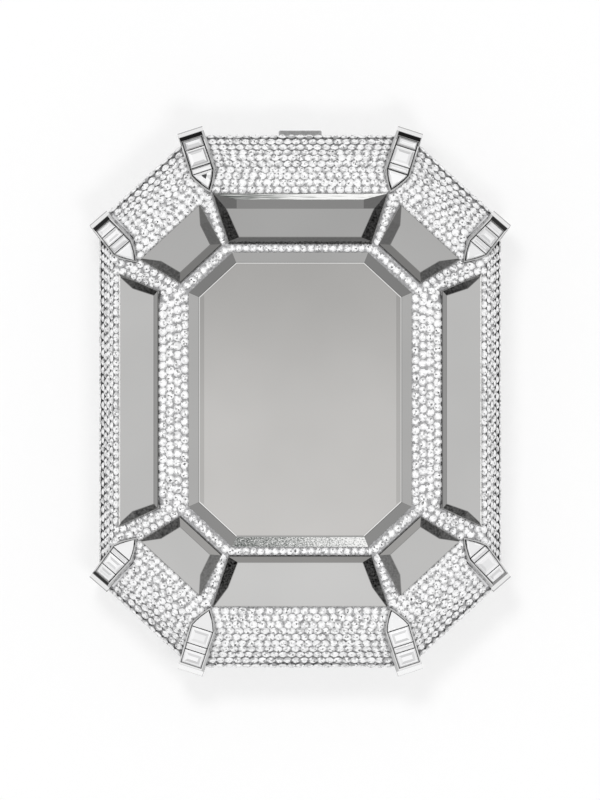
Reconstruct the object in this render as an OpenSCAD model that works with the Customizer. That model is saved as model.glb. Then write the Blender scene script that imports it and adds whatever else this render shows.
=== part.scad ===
// Stone-set minaudiere shaped like a cut gem: two metal half shells that open like a box,
// each with a mirror table, eight bevelled mirror panels, pave stones between them and
// eight claws over its corners. It lies on the table mirror of its rear half.
// X runs across the case, Y from the hinge wall to the clasp wall, Z out of the front.

/* [Case outline] */
// Width between the two long walls
case_w = 121.5; // [116:0.5:130]
// Height from the hinge wall to the clasp wall
case_h = 161; // [152:0.5:175]
// Width that each corner wall cuts off the end wall
corner_cut_w = 27.8; // [26:0.1:31]
// Height that each corner wall cuts off the long wall
corner_cut_h = 25.7; // [24:0.1:28]
// Depth of one half, from the parting line to its table mirror
half_depth = 25; // [23:0.5:30]

/* [Facets] */
// Height of the upright girdle wall above the parting line
girdle_h = 6; // [5.6:0.1:8]
// Fall of the rounded outer band, from the panels to the girdle
band_drop = 11.9; // [10:0.1:12.5]
// Width of that band along the long walls
side_band_w = 5.35; // [4.5:0.05:7]
// Width of that band along the two end walls
end_band_w = 17.4; // [15:0.1:19]
// Width of that band along the corner walls
corner_band_w = 15.8; // [14.5:0.1:17]
// Width of the sloped facet under each side panel
side_facet_w = 12.6; // [11:0.1:14]
// Width of the sloped facet under each end panel
end_facet_w = 15.9; // [14:0.1:17]
// Width of the sloped facet under each corner panel
corner_facet_w = 15.2; // [14:0.1:16]

/* [Walls] */
// Height of the stones above the metal they are set on
stone_t = 1.3; // [1:0.1:1.6]
// Thickness of the metal shell
wall_t = 1; // [0.8:0.1:1.3]
// Thickness of the leather that lines the shell
lining_t = 1.2; // [1:0.1:1.5]
// Height of the bare metal rim that shows beside the parting line
rim_h = 2.2; // [1.8:0.1:2.4]
// Step from the stones back to the bare rim
rim_step = 0.4; // [0.2:0.1:0.7]
// Gap between the two rims when the case is shut
parting_gap = 0.3; // [0.2:0.05:0.5]

/* [Mirrors] */
// Height of a mirror's face above the stones
mirror_proud = 1; // [0.6:0.1:1.4]
// Height of a mirror's ground edge above the stones
mirror_edge = 0.15; // [0.05:0.05:0.4]
// Width of the bevel round the table mirror
table_bevel_w = 3.5; // [2.5:0.1:4.5]
// Width of the bevel round the panels
panel_bevel_w = 2.4; // [1.6:0.1:3]
// Stone strip between the table and the side facets
table_side_strip = 9; // [7:0.1:11]
// Stone strip between the table and the end facets
table_end_strip = 2.6; // [2.3:0.1:4]
// Stone strip between the table and the corner facets
table_corner_strip = 3.75; // [2.8:0.05:5]
// Margin of a panel to the rounded band
panel_out_margin = 0.4; // [0.3:0.1:0.8]
// Reach of a side panel's ends past the ridge beside it, at the rounded band
side_band_reach = 0.5; // [0:0.1:0.8]
// The same reach at the flat round the table
side_table_reach = 3.7; // [2:0.1:3.8]
// Margin of an end panel to the ridge beside it
end_panel_margin = 1.6; // [1:0.05:2.2]
// Margin of a panel to the flat round the table
panel_in_margin = 0.15; // [0.1:0.05:0.5]
// Margin of a corner panel to the rounded band
corner_out_margin = 1.5; // [0.8:0.1:2.2]
// Stone strip between a corner panel and the side facet, at the flat round the table
corner_low_strip = 8.8; // [6:0.1:10]
// The same strip at the rounded band
corner_low_band_strip = 7.7; // [6:0.1:10]
// Stone strip between a corner panel and the end facet, at the band
corner_high_strip = 3.2; // [3:0.1:6]
// The same strip where it meets the table's stones
corner_high_tip = 0.4; // [0.3:0.1:1.5]

/* [Claws] */
// Width of a claw
claw_w = 8.4; // [7.4:0.1:9]
// Length of its pointed tip
claw_tip_len = 6.5; // [5:0.1:7]
// Length of the claws by the end walls, seen from the front
end_claw_len = 19.2; // [17.5:0.1:19.2]
// Length of the claws by the long walls, seen from the front
side_claw_len = 17.2; // [15.8:0.1:17.8]
// Turn of the claws by the end walls from the line that halves the corner, towards the height
end_claw_turn = 3.5; // [0:0.5:6]
// Turn of the claws by the long walls from the corner wall's direction, towards the height
side_claw_turn = 2; // [0:0.1:5]
// Reach of the claws by the end walls past the girdle's corner
end_claw_out = 0.7; // [0:0.1:1.2]
// Setback of the claws by the long walls from the girdle's corner
side_claw_back = 0.2; // [0:0.1:0.9]
// How far the foot of a claw stands out past its bend
claw_foot_out = 1.4; // [1.3:0.1:1.8]
// Height of a claw's foot above the parting line
claw_foot_z = 5; // [4.9:0.1:5.2]
// Thickness of the metal wall round a claw's stones
claw_wall = 0.9; // [0.7:0.1:1.2]
// Depth of the channel that holds a claw's stones
claw_channel = 1.3; // [1:0.1:1.4]
// How far the stones lie below the channel's walls
claw_stone_sink = 0.25; // [0.1:0.05:0.4]
// Gap between neighbouring claw stones
claw_stone_gap = 0.15; // [0.1:0.05:0.3]

/* [Hinge] */
// Radius of the hinge barrel
hinge_r = 1.6; // [1.4:0.05:1.8]
// Distance from each end of the hinge to the corner of the wall inside
hinge_end_margin = 0.6; // [0.4:0.1:6]
// Radius of the hinge pin
pin_r = 0.75; // [0.6:0.05:0.85]
// Running clearance of the pin in the front half's knuckles
pin_clear = 0.05; // [0.03:0.01:0.08]
// Gap between neighbouring knuckles
knuckle_gap = 0.25; // [0.2:0.05:0.5]
// Clearance between the barrel's reach and the groove that it turns in
groove_clear = 0.35; // [0.3:0.05:0.5]
// Thickness of the hinge leaves
leaf_t = 0.8; // [0.6:0.05:1]
// Height of each leaf above the parting line
leaf_h = 4.5; // [4.2:0.1:4.6]
// Radius of the screw heads inside the case
screw_head_r = 0.8; // [0.7:0.05:0.9]
// Radius of the screw shanks
screw_r = 0.45; // [0.35:0.05:0.5]

/* [Clasp] */
// Width of the push plate
clasp_w = 13.2; // [11:0.1:15]
// Thickness of the push plate, across the parting line
clasp_t = 5.2; // [4.6:0.1:5.6]
// How far the push plate stands out of the stones
clasp_proud = 2; // [1.6:0.1:2.4]
// Travel of the push plate
clasp_travel = 1.2; // [0.8:0.1:1.4]
// Clearance round the push plate
clasp_clear = 0.3; // [0.2:0.05:0.4]
// Thickness of the sheet metal parts of the latch
latch_t = 1.2; // [1:0.05:1.3]
// Gap between the latch nose and the keeper's ledge
latch_gap = 0.2; // [0.15:0.05:0.3]
// Radius of the latch spring
spring_r = 1.2; // [1:0.05:1.25]

/* [Hidden] */
HALVES = ["front", "rear"];
PANELS = ["table", "end_high", "end_low", "side_left", "side_right",
          "corner_high_left", "corner_high_right", "corner_low_left", "corner_low_right"];

$fn = 48;
overrun = 1;
reach = case_h;

// Tints
metal_tint = "#c9c9cb";
stone_tint = "#e9e9ec";
mirror_tint = "#aaa9a6";
lining_tint = "#8f8a86";

// Levels of the front half above the parting line
crown_z = half_depth - mirror_proud;
facet_drop = crown_z - girdle_h - band_drop;
band_z = crown_z - facet_drop;

// Shares of the band's width and of its fall at its two folds
band_run_shares = [0.34, 0.68];
band_fall_shares = [0.13, 0.48];

// Direction that a corner wall faces, from the width's axis, and its distance from the centre
corner_angle = atan2(corner_cut_w, corner_cut_h);
case_cut = (case_w / 2 - corner_cut_w) * cos(corner_angle) + case_h / 2 * sin(corner_angle);

// Distances of the four edge rings from the centre: girdle, band, crown, table
side_rings = [case_w / 2, case_w / 2 - side_band_w, case_w / 2 - side_band_w - side_facet_w,
              case_w / 2 - side_band_w - side_facet_w - table_side_strip];
end_rings = [case_h / 2, case_h / 2 - end_band_w, case_h / 2 - end_band_w - end_facet_w,
             case_h / 2 - end_band_w - end_facet_w - table_end_strip];
corner_rings = [case_cut, case_cut - corner_band_w, case_cut - corner_band_w - corner_facet_w,
                case_cut - corner_band_w - corner_facet_w - table_corner_strip];

// Point where a corner line at distance c meets the long wall's line, or the end wall's line
function long_corner(a, c) = [a, (c - a * cos(corner_angle)) / sin(corner_angle)];
function end_corner(b, c) = [(c - b * sin(corner_angle)) / cos(corner_angle), b];
function octagon_points(a, b, c) =
    let (p = long_corner(a, c), q = end_corner(b, c))
    [p, q, [-q[0], q[1]], [-p[0], p[1]], [-p[0], -p[1]], [-q[0], -q[1]], [q[0], -q[1]], [p[0], -p[1]]];

// Inset of a chain of edges: each point moves so that both its edges lie d further in
function edge_normal(p, q) = [q[1] - p[1], p[0] - q[0]] / norm(q - p);
function mitre(m, n) = (m + n) / (1 + m * n);
function inset_loop(points, d) =
    let (n = len(points))
    [for (i = [0:n - 1])
        points[i] - d * mitre(edge_normal(points[(i + n - 1) % n], points[i]),
                              edge_normal(points[i], points[(i + 1) % n]))];

// Section through one wall of a half, from the parting line up to the crown
function wall_section(rings) =
    let (girdle = rings[0], band = rings[1], crown = rings[2], w = girdle - band)
    [[girdle, 0], [girdle, girdle_h],
     [band + w * band_run_shares[1], band_z - band_drop * band_fall_shares[1]],
     [band + w * band_run_shares[0], band_z - band_drop * band_fall_shares[0]],
     [band, band_z], [crown, crown_z]];
function inset_section(points, d) =
    let (n = len(points))
    [for (i = [0:n - 1])
        let (before = i == 0 ? [1, 0] : edge_normal(points[i - 1], points[i]),
             after = i == n - 1 ? [0, 1] : edge_normal(points[i], points[i + 1]))
        points[i] - d * mitre(before, after)];

// Solid between two opposite walls
module wall_pair(angle, rings, d) {
    half = inset_section(wall_section(rings), d);
    mirrored = [for (i = [len(half) - 1:-1:0]) [-half[i][0], half[i][1]]];
    rotate([0, 0, angle])
        rotate([90, 0, 0])
            translate([0, 0, -reach])
                linear_extrude(2 * reach)
                    polygon(concat(half, mirrored));
}

// Outer form of one half with every surface moved in by d, standing on the parting plane
module half_form(d) {
    intersection() {
        wall_pair(0, side_rings, d);
        wall_pair(90, end_rings, d);
        wall_pair(corner_angle, corner_rings, d);
        wall_pair(-corner_angle, corner_rings, d);
    }
}
module octagon_prism(a, b, c, low, high) {
    translate([0, 0, low])
        linear_extrude(high - low)
            polygon(octagon_points(a, b, c));
}
module above(z) {
    intersection() {
        children();
        translate([-reach, -reach, z])
            cube([2 * reach, 2 * reach, reach]);
    }
}
module below(z) {
    intersection() {
        children();
        translate([-reach, -reach, z - reach])
            cube([2 * reach, 2 * reach, reach]);
    }
}

// Places a piece modelled on the front half on either half
module on_half(h) {
    translate([0, 0, half_depth])
        mirror([0, 0, h == "rear" ? 1 : 0])
            children();
}

/* Mirrors */

// Facet frame: u runs along the ridge, v down the slope from the crown, w out of the facet
module on_facet(angle, rings) {
    fall = atan2(crown_z - band_z, rings[1] - rings[2]);
    rotate([0, 0, angle])
        translate([rings[2], 0, crown_z])
            rotate([0, fall, 0])
                rotate([0, 0, 90])
                    mirror([0, 1, 0])
                        children();
}
function slope_share(rings) = norm([rings[1] - rings[2], crown_z - band_z]) / (rings[1] - rings[2]);

// Bevelled plate: outline, seat below the stones, ground edge and face above them
module bevelled_plate(outline, bevel_w, high) {
    n = len(outline);
    face = inset_loop(outline, bevel_w);
    levels = [[outline, -stone_t], [outline, mirror_edge], [face, high]];
    points = [for (level = levels) for (p = level[0]) [p[0], p[1], level[1]]];
    sides = [for (ring = [0, 1]) for (i = [0:n - 1])
        [ring * n + i, (ring + 1) * n + i, (ring + 1) * n + (i + 1) % n, ring * n + (i + 1) % n]];
    polyhedron(points = points,
               faces = concat([[for (i = [0:n - 1]) i]], sides, [[for (i = [n - 1:-1:0]) 2 * n + i]]));
}
module plate_cutter(outline) {
    depth = stone_t + stone_t / 2;
    translate([0, 0, -depth])
        linear_extrude(depth + overrun)
            polygon(outline);
}

// Outlines of the panels in their facet frames, going round against the clock from above
function trapezoid(in_half, out_half, in_v, out_v) =
    [[-in_half, in_v], [in_half, in_v], [out_half, out_v], [-out_half, out_v]];
function ridge_half_at(rings, other, v_share, long) =
    let (p = long ? long_corner(rings[2], other[2]) : end_corner(rings[2], other[2]),
         q = long ? long_corner(rings[1], other[1]) : end_corner(rings[1], other[1]),
         k = long ? 1 : 0)
    p[k] + (q[k] - p[k]) * v_share;
function straight_panel(rings, long) =
    let (w = rings[1] - rings[2],
         low_share = panel_in_margin / w,
         high_share = 1 - panel_out_margin / w,
         table_reach = long ? side_table_reach : -end_panel_margin,
         band_reach = long ? side_band_reach : -end_panel_margin,
         s = slope_share(rings))
    trapezoid(ridge_half_at(rings, corner_rings, low_share, long) + table_reach,
              ridge_half_at(rings, corner_rings, high_share, long) + band_reach,
              panel_in_margin * s, (w - panel_out_margin) * s);
// Position along a corner ridge, measured from the corner wall's normal through the centre
function along_corner(p) = p * [-sin(corner_angle), cos(corner_angle)];
function corner_panel() =
    let (s = slope_share(corner_rings),
         w = corner_facet_w,
         in_low = along_corner(long_corner(side_rings[2], corner_rings[2])),
         in_high = along_corner(end_corner(end_rings[2], corner_rings[2])),
         out_low = along_corner(long_corner(side_rings[1], corner_rings[1])),
         out_high = along_corner(end_corner(end_rings[1], corner_rings[1])),
         out_share = 1 - corner_out_margin / w)
    [[in_low + corner_low_strip, panel_in_margin * s],
     [in_high - corner_high_tip, panel_in_margin * s],
     [in_high + (out_high - in_high) * out_share - corner_high_strip, (w - corner_out_margin) * s],
     [in_low + (out_low - in_low) * out_share + corner_low_band_strip, (w - corner_out_margin) * s]];
table_outline = octagon_points(side_rings[3], end_rings[3], corner_rings[3]);

// Runs its child in the place of panel p; the corner panels mirror the upper right one
module at_panel(p) {
    flip_x = p == "side_left" || p == "corner_high_left" || p == "corner_low_left";
    flip_y = p == "end_low" || p == "corner_low_left" || p == "corner_low_right";
    mirror([flip_x ? 1 : 0, 0, 0])
        mirror([0, flip_y ? 1 : 0, 0])
            if (p == "table")
                translate([0, 0, crown_z]) children();
            else if (p == "end_high" || p == "end_low")
                on_facet(90, end_rings) children();
            else if (p == "side_left" || p == "side_right")
                on_facet(0, side_rings) children();
            else
                on_facet(corner_angle, corner_rings) children();
}
function panel_outline(p) =
    p == "table" ? table_outline :
    p == "end_high" || p == "end_low" ? straight_panel(end_rings, false) :
    p == "side_left" || p == "side_right" ? straight_panel(side_rings, true) : corner_panel();
module mirror_plate(h, p) {
    color(mirror_tint)
        on_half(h)
            at_panel(p)
                bevelled_plate(panel_outline(p), p == "table" ? table_bevel_w : panel_bevel_w, mirror_proud);
}
module all_plate_cutters() {
    for (p = PANELS)
        at_panel(p) plate_cutter(panel_outline(p));
}

/* Claws */

claw_run_shares = [0, 0.35, 0.68, 1];
claw_rise_shares = [1.06, 0.98, 0.7, 0.22];
claw_stone_shares = [0.38, 0.48, 0.79, 0.945];

// Claws 1 to 8 go round from the clasp wall's right end, clockwise seen from the front
function claw_is_end(k) = k == 1 || k == 4 || k == 5 || k == 8;
function claw_len(k) = claw_is_end(k) ? end_claw_len : side_claw_len;
module at_claw(k) {
    corner = claw_is_end(k) ? end_corner(end_rings[0], corner_rings[0])
                            : long_corner(side_rings[0], corner_rings[0]);
    angle = claw_is_end(k) ? (90 + corner_angle) / 2 + end_claw_turn : corner_angle + side_claw_turn;
    back = claw_len(k) - (claw_is_end(k) ? end_claw_out : -side_claw_back);
    mirror([k > 4 ? 1 : 0, 0, 0])
        mirror([0, k > 2 && k < 7 ? 1 : 0, 0])
            translate([corner[0], corner[1], 0])
                rotate([0, 0, angle])
                    translate([-back, 0, 0])
                        children();
}
// Plan of a claw: a pointed bar, tip at the origin, drawn in by d on its flanks and tip
module claw_plan(len, d, start, end) {
    half_w = claw_w / 2;
    tip_in = d * norm([claw_tip_len, half_w]) / half_w;
    shoulder = tip_in + claw_tip_len * (half_w - d) / half_w;
    intersection() {
        polygon([[tip_in, 0], [shoulder, d - half_w], [len, d - half_w], [len, half_w - d],
                 [shoulder, half_w - d]]);
        translate([start, -half_w])
            square([end - start, claw_w]);
    }
}
// Side of a claw: its folded back and its foot, lowered by d
function claw_back_line(len, d) =
    [for (i = [0:3]) [len * claw_run_shares[i], girdle_h + band_drop * claw_rise_shares[i] - d]];
module claw_side(len, d, floor_z) {
    foot = len + claw_foot_out;
    polygon(concat(claw_back_line(len, d), [[foot, claw_foot_z], [foot, floor_z], [0, floor_z]]));
}
module claw_prism(len, d, low_d, start, end) {
    intersection() {
        translate([0, 0, -overrun])
            linear_extrude(crown_z + 2 * overrun)
                claw_plan(len + claw_foot_out + overrun, d, start, end);
        rotate([90, 0, 0])
            translate([0, 0, -claw_w])
                linear_extrude(2 * claw_w)
                    difference() {
                        claw_side(len, low_d, claw_foot_z);
                        if (d > 0)
                            claw_side(len, claw_channel, claw_foot_z - overrun);
                    }
    }
}
module claw_block(k) {
    claw_prism(claw_len(k), 0, 0, 0, claw_len(k) + claw_foot_out);
}
module claw_channel_cut(k) {
    last = claw_stone_shares[3] * claw_len(k);
    claw_prism(claw_len(k), claw_wall, -overrun, 0, last);
}
module claw(h, k) {
    color(metal_tint)
        on_half(h)
            difference() {
                at_claw(k)
                    difference() {
                        claw_block(k);
                        claw_channel_cut(k);
                    }
                half_form(stone_t);
            }
}
module claw_stones(h) {
    color(stone_tint)
        on_half(h)
            for (k = [1:8])
                at_claw(k)
                    for (i = [0:3]) {
                        start = i == 0 ? 0 : claw_stone_shares[i - 1] * claw_len(k) + claw_stone_gap;
                        claw_prism(claw_len(k), claw_wall, claw_stone_sink,
                                   start, claw_stone_shares[i] * claw_len(k));
                    }
}
module all_claw_blocks() {
    for (k = [1:8])
        at_claw(k) claw_block(k);
}

/* Shell, rim, lining and pave */

lining_d = stone_t + wall_t;
inner_d = lining_d + lining_t;
inner_y = case_h / 2 - inner_d;
hinge_y = -(case_h / 2 - hinge_r);
groove_r = norm([hinge_r, hinge_r]) + groove_clear;
rim_flange_h = girdle_h - inner_d * tan(22.5) - rim_step / 2;

module hinge_groove() {
    groove_len = 2 * end_corner(end_rings[0], corner_rings[0])[0] + 4 * hinge_r;
    translate([-groove_len / 2, hinge_y, 0])
        rotate([0, 90, 0])
            cylinder(r = groove_r, h = groove_len);
}
module clasp_notch() {
    w = clasp_w + 2 * clasp_clear;
    t = clasp_t + 2 * clasp_clear;
    translate([-w / 2, inner_y - overrun, -t / 2])
        cube([w, inner_d + 2 * overrun, t]);
}
module hardware_cuts() {
    hinge_groove();
    clasp_notch();
}
module shell(h) {
    color(metal_tint)
        on_half(h)
            difference() {
                above(rim_h)
                    difference() {
                        half_form(stone_t);
                        half_form(lining_d);
                    }
                hardware_cuts();
                leaf_screw_holes();
            }
}
module rim(h) {
    color(metal_tint)
        on_half(h)
            difference() {
                union() {
                    below(rim_h)
                        above(parting_gap / 2)
                            difference() {
                                half_form(rim_step);
                                half_form(inner_d);
                            }
                    below(rim_flange_h)
                        above(parting_gap / 2)
                            difference() {
                                half_form(lining_d);
                                half_form(inner_d);
                            }
                }
                hardware_cuts();
                leaf_screw_holes();
            }
}
module lining(h) {
    color(lining_tint)
        on_half(h)
            above(rim_flange_h)
                difference() {
                    half_form(lining_d);
                    half_form(inner_d);
                }
}
module stone_layer() {
    difference() {
        half_form(0);
        half_form(stone_t);
    }
}
module crown_pave(h) {
    color(stone_tint)
        on_half(h)
            difference() {
                intersection() {
                    stone_layer();
                    octagon_prism(side_rings[1], end_rings[1], corner_rings[1], 0, half_depth);
                }
                all_plate_cutters();
                all_claw_blocks();
            }
}
module band_pave(h) {
    color(stone_tint)
        on_half(h)
            difference() {
                above(girdle_h)
                    stone_layer();
                octagon_prism(side_rings[1], end_rings[1], corner_rings[1], 0, half_depth);
                all_claw_blocks();
            }
}
module girdle_pave(h) {
    color(stone_tint)
        on_half(h)
            difference() {
                below(girdle_h)
                    above(rim_h)
                        stone_layer();
                hardware_cuts();
                all_claw_blocks();
            }
}

/* Hinge */

hinge_len = 2 * (end_corner(end_rings[0] - inner_d, corner_rings[0] - inner_d)[0] - hinge_end_margin);
knuckle_count = 5;
knuckle_len = hinge_len / knuckle_count;
leaf_face_y = -inner_y;
screw_z = (groove_r + leaf_h) / 2;
screw_len = leaf_t + lining_t + wall_t / 2;
screw_head_t = screw_r;
screw_shares = [-0.4, -0.13, 0.13, 0.4];

function knuckle_is_front(i) = i % 2 == 1;
module at_screws() {
    for (share = screw_shares)
        translate([share * hinge_len, leaf_face_y + leaf_t, screw_z])
            rotate([90, 0, 0])
                children();
}
module leaf_screw_holes() {
    at_screws()
        cylinder(r = screw_r, h = screw_len);
}
module hinge_leaf(h) {
    front = h == "front";
    bore = front ? pin_r + pin_clear : pin_r;
    color(metal_tint)
        on_half(h)
            difference() {
                union() {
                    translate([-hinge_len / 2, leaf_face_y, parting_gap / 2])
                        cube([hinge_len, leaf_t, leaf_h - parting_gap / 2]);
                    for (i = [0:knuckle_count - 1])
                        if (knuckle_is_front(i) == front)
                            translate([(i - knuckle_count / 2) * knuckle_len + knuckle_gap / 2, hinge_y, 0])
                                knuckle(knuckle_len - knuckle_gap);
                }
                translate([-hinge_len / 2 - overrun, hinge_y, 0])
                    rotate([0, 90, 0])
                        cylinder(r = bore, h = hinge_len + 2 * overrun);
                leaf_screw_holes();
            }
}
module knuckle(w) {
    rotate([0, 90, 0])
        cylinder(r = hinge_r, h = w);
    translate([0, 0, parting_gap / 2])
        cube([w, leaf_face_y + leaf_t - hinge_y, hinge_r - parting_gap / 2]);
}
module hinge_screws(h) {
    color(metal_tint)
        on_half(h)
            at_screws() {
                cylinder(r = screw_r, h = screw_len);
                translate([0, 0, -screw_head_t])
                    cylinder(r = screw_head_r, h = screw_head_t);
            }
}
module hinge_pin() {
    color(metal_tint)
        translate([-hinge_len / 2, hinge_y, half_depth])
            rotate([0, 90, 0])
                cylinder(r = pin_r, h = hinge_len);
}

/* Clasp */

clasp_back_y = inner_y + latch_t / 2;
ledge_t = latch_t * 2 / 3;
keeper_t = ledge_t;
ledge_z = clasp_t / 2 + clasp_clear + latch_gap;
ledge_reach = latch_t * 4 / 3;
nose_y = inner_y - ledge_reach - latch_gap;
nose_z = ledge_z + ledge_t + latch_gap;
arm_w = clasp_w / 2 - latch_t / 2;
slide_w = arm_w + 2 * latch_t;
slide_low = -clasp_t - latch_t / 2;
housing_wall = latch_t * 2 / 3;
housing_low = slide_low - latch_gap - housing_wall;
housing_high = -clasp_t / 2 - clasp_clear;
slide_back = nose_y - latch_t;
housing_back = slide_back - clasp_travel - spring_r * 3 / 2;
spring_z = (slide_low + housing_high) / 2;
ear_w = (clasp_w + 2 * clasp_clear) / 2;

module clasp_plate() {
    color(metal_tint)
        translate([-clasp_w / 2, clasp_back_y, half_depth - clasp_t / 2])
            cube([clasp_w, case_h / 2 + clasp_proud - clasp_back_y, clasp_t]);
}
module latch_slide() {
    color(metal_tint)
        translate([0, 0, half_depth]) {
            translate([-arm_w / 2, slide_back, -clasp_t / 2 + latch_t / 2])
                cube([arm_w, clasp_back_y - slide_back, clasp_t - latch_t]);
            translate([-slide_w / 2, slide_back, slide_low])
                cube([slide_w, latch_t, -clasp_t / 2 - slide_low + latch_t]);
            translate([-arm_w / 2, slide_back, 0])
                cube([arm_w, latch_t * 3 / 4, nose_z + ledge_t]);
            translate([-arm_w / 2, slide_back, nose_z])
                cube([arm_w, latch_t, ledge_t]);
        }
}
module latch_housing() {
    cavity_w = slide_w + 2 * latch_gap;
    outer_w = cavity_w + 2 * housing_wall;
    color(metal_tint)
        translate([0, 0, half_depth])
            intersection() {
                difference() {
                    translate([-outer_w / 2, housing_back - housing_wall, housing_low])
                        cube([outer_w, inner_y - housing_back + housing_wall, housing_high - housing_low]);
                    translate([-cavity_w / 2, housing_back, housing_low + housing_wall])
                        cube([cavity_w, nose_y + latch_gap - housing_back, housing_high - housing_low]);
                }
                mirror([0, 0, 1])
                    half_form(inner_d);
            }
}
module latch_spring() {
    color(metal_tint)
        translate([0, slide_back, half_depth + spring_z])
            rotate([90, 0, 0])
                difference() {
                    cylinder(r = spring_r, h = slide_back - housing_back);
                    translate([0, 0, -overrun])
                        cylinder(r = spring_r * 2 / 3, h = slide_back - housing_back + 2 * overrun);
                }
}
module keeper() {
    wing = ear_w + ledge_reach * 2;
    color(metal_tint)
        translate([0, 0, half_depth]) {
            difference() {
                translate([-wing, inner_y - keeper_t, parting_gap / 2])
                    cube([2 * wing, keeper_t, ledge_z + ledge_t - parting_gap / 2]);
                translate([-ear_w, inner_y - keeper_t - overrun, -overrun])
                    cube([2 * ear_w, keeper_t + 2 * overrun, ledge_z + overrun]);
            }
            translate([-arm_w / 2, inner_y - ledge_reach, ledge_z])
                cube([arm_w, ledge_reach, ledge_t]);
        }
}

for (h = HALVES) {
    shell(h);
    rim(h);
    lining(h);
    crown_pave(h);
    band_pave(h);
    girdle_pave(h);
    claw_stones(h);
    hinge_leaf(h);
    hinge_screws(h);
    for (p = PANELS)
        mirror_plate(h, p);
    for (k = [1:8])
        claw(h, k);
}
hinge_pin();
clasp_plate();
latch_slide();
latch_spring();
latch_housing();
keeper();
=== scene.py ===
# %% [markdown]
# # Dressing a stone-set evening case
#
# The object is a hard evening case shaped like a step-cut gem. Two metal half shells close on each
# other, and each carries a bevelled mirror table, eight mirror panels, round stones between them and
# eight claws over its corners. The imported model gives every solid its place. This file gives each of
# them its finish, and puts finer pieces where plain solids stand for stones, ground glass and leather.

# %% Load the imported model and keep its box
import bmesh
import bpy
import math
import random
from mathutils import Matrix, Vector


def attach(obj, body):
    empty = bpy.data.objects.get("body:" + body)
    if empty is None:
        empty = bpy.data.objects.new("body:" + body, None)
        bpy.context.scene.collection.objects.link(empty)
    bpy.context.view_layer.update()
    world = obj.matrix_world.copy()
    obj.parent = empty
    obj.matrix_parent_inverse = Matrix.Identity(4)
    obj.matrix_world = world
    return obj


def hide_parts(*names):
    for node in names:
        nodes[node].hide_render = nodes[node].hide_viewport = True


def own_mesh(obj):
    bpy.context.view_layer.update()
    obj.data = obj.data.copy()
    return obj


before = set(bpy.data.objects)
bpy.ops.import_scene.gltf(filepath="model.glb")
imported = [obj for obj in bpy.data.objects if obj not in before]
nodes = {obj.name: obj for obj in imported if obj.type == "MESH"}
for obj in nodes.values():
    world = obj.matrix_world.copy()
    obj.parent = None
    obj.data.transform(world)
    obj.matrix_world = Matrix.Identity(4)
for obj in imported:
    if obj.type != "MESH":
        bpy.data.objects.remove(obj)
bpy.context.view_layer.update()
scene = bpy.context.scene
MM = 0.001
HALVES = ("front", "rear")


def link_object(name, data):
    thing = bpy.data.objects.new(name, data)
    scene.collection.objects.link(thing)
    return thing


# %% [markdown]
# ## The camera
#
# The photograph looks straight down on the lying case, about a degree from the hinge side, from far
# away. A long lens from 5 m keeps the edges as parallel as they are there. The look-at point is the
# middle of the table mirror, so the lens needs no shift.

# %% Place the camera
VIEW_DISTANCE, VIEW_HEIGHT = 5000, 242.4
VIEW_LEAN = math.radians(1.3)
look_at = Vector((-0.06, -0.13, 50)) * MM
back = Vector((0, -math.sin(VIEW_LEAN), math.cos(VIEW_LEAN)))
lens = bpy.data.cameras.new("photo_lens")
lens.sensor_width = 36
lens.lens = lens.sensor_width * VIEW_DISTANCE / VIEW_HEIGHT
lens.clip_end = 20
camera = link_object("photo_camera", lens)
camera.location = look_at + back * VIEW_DISTANCE * MM
camera.rotation_mode = "QUATERNION"
camera.rotation_quaternion = (-back).to_track_quat("-Z", "Y")
scene.camera = camera
scene.view_settings.view_transform = "Standard"
print("lens", round(lens.lens, 1), "mm")

# %% [markdown]
# ## The gem's own numbers
#
# Each wall of a half is the same folded section pushed in to four rings: girdle, band, crown and
# table. The rings are repeated here from the model, in millimetres, because every stone row follows
# them. Heights are measured from the parting plane, which lies 25 mm above the floor.

# %% Rings, heights and walls
PARTING = 25.0
CORNER_H, CORNER_W = 27.8, 25.7
CORNER = math.atan2(CORNER_H, CORNER_W)
GIRDLE_H, BAND_DROP, CROWN_Z = 6.0, 11.9, 24.0
BAND_Z = GIRDLE_H + BAND_DROP
FOLDS = ((0.34, 0.13), (0.68, 0.48))
RIM_H, STONE_T, INNER_D = 2.2, 1.3, 3.5
SIDE = [60.75, 55.4, 42.8, 33.8]
END = [80.5, 63.1, 47.2, 44.6]
girdle_cut = (SIDE[0] - CORNER_H) * math.cos(CORNER) + END[0] * math.sin(CORNER)
CUT = [girdle_cut - inset for inset in (0, 15.8, 31.0, 34.75)]
quarter = math.pi / 2
WALLS = [(SIDE, 0), (CUT, CORNER), (END, quarter), (CUT, math.pi - CORNER),
         (SIDE, math.pi), (CUT, math.pi + CORNER), (END, 3 * quarter), (CUT, -CORNER)]
print("corner walls face", round(math.degrees(CORNER), 2), "degrees; rings", [round(c, 2) for c in CUT])


# %% Section of a wall, from its crown down to the bare rim
def wall_section(rings):
    girdle, band, crown = rings[:3]
    folds = [(band + out * (girdle - band), BAND_Z - down * BAND_DROP) for out, down in FOLDS]
    return [(crown, CROWN_Z), (band, BAND_Z), *folds, (girdle, GIRDLE_H), (girdle, 0)]


def inset_section(rings, d):
    points = [(0, CROWN_Z)] + wall_section(rings)
    normals = [((p[1] - q[1]) / math.dist(p, q), (q[0] - p[0]) / math.dist(p, q))
               for p, q in zip(points, points[1:])] + [(1, 0)]
    moved = []
    for p, m, n in zip(points[1:], normals, normals[1:]):
        scale = d / (1 + m[0] * n[0] + m[1] * n[1])
        moved.append((p[0] - (m[0] + n[0]) * scale, p[1] - (m[1] + n[1]) * scale))
    moved[-1] = (moved[-1][0], 0)
    return moved


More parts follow.
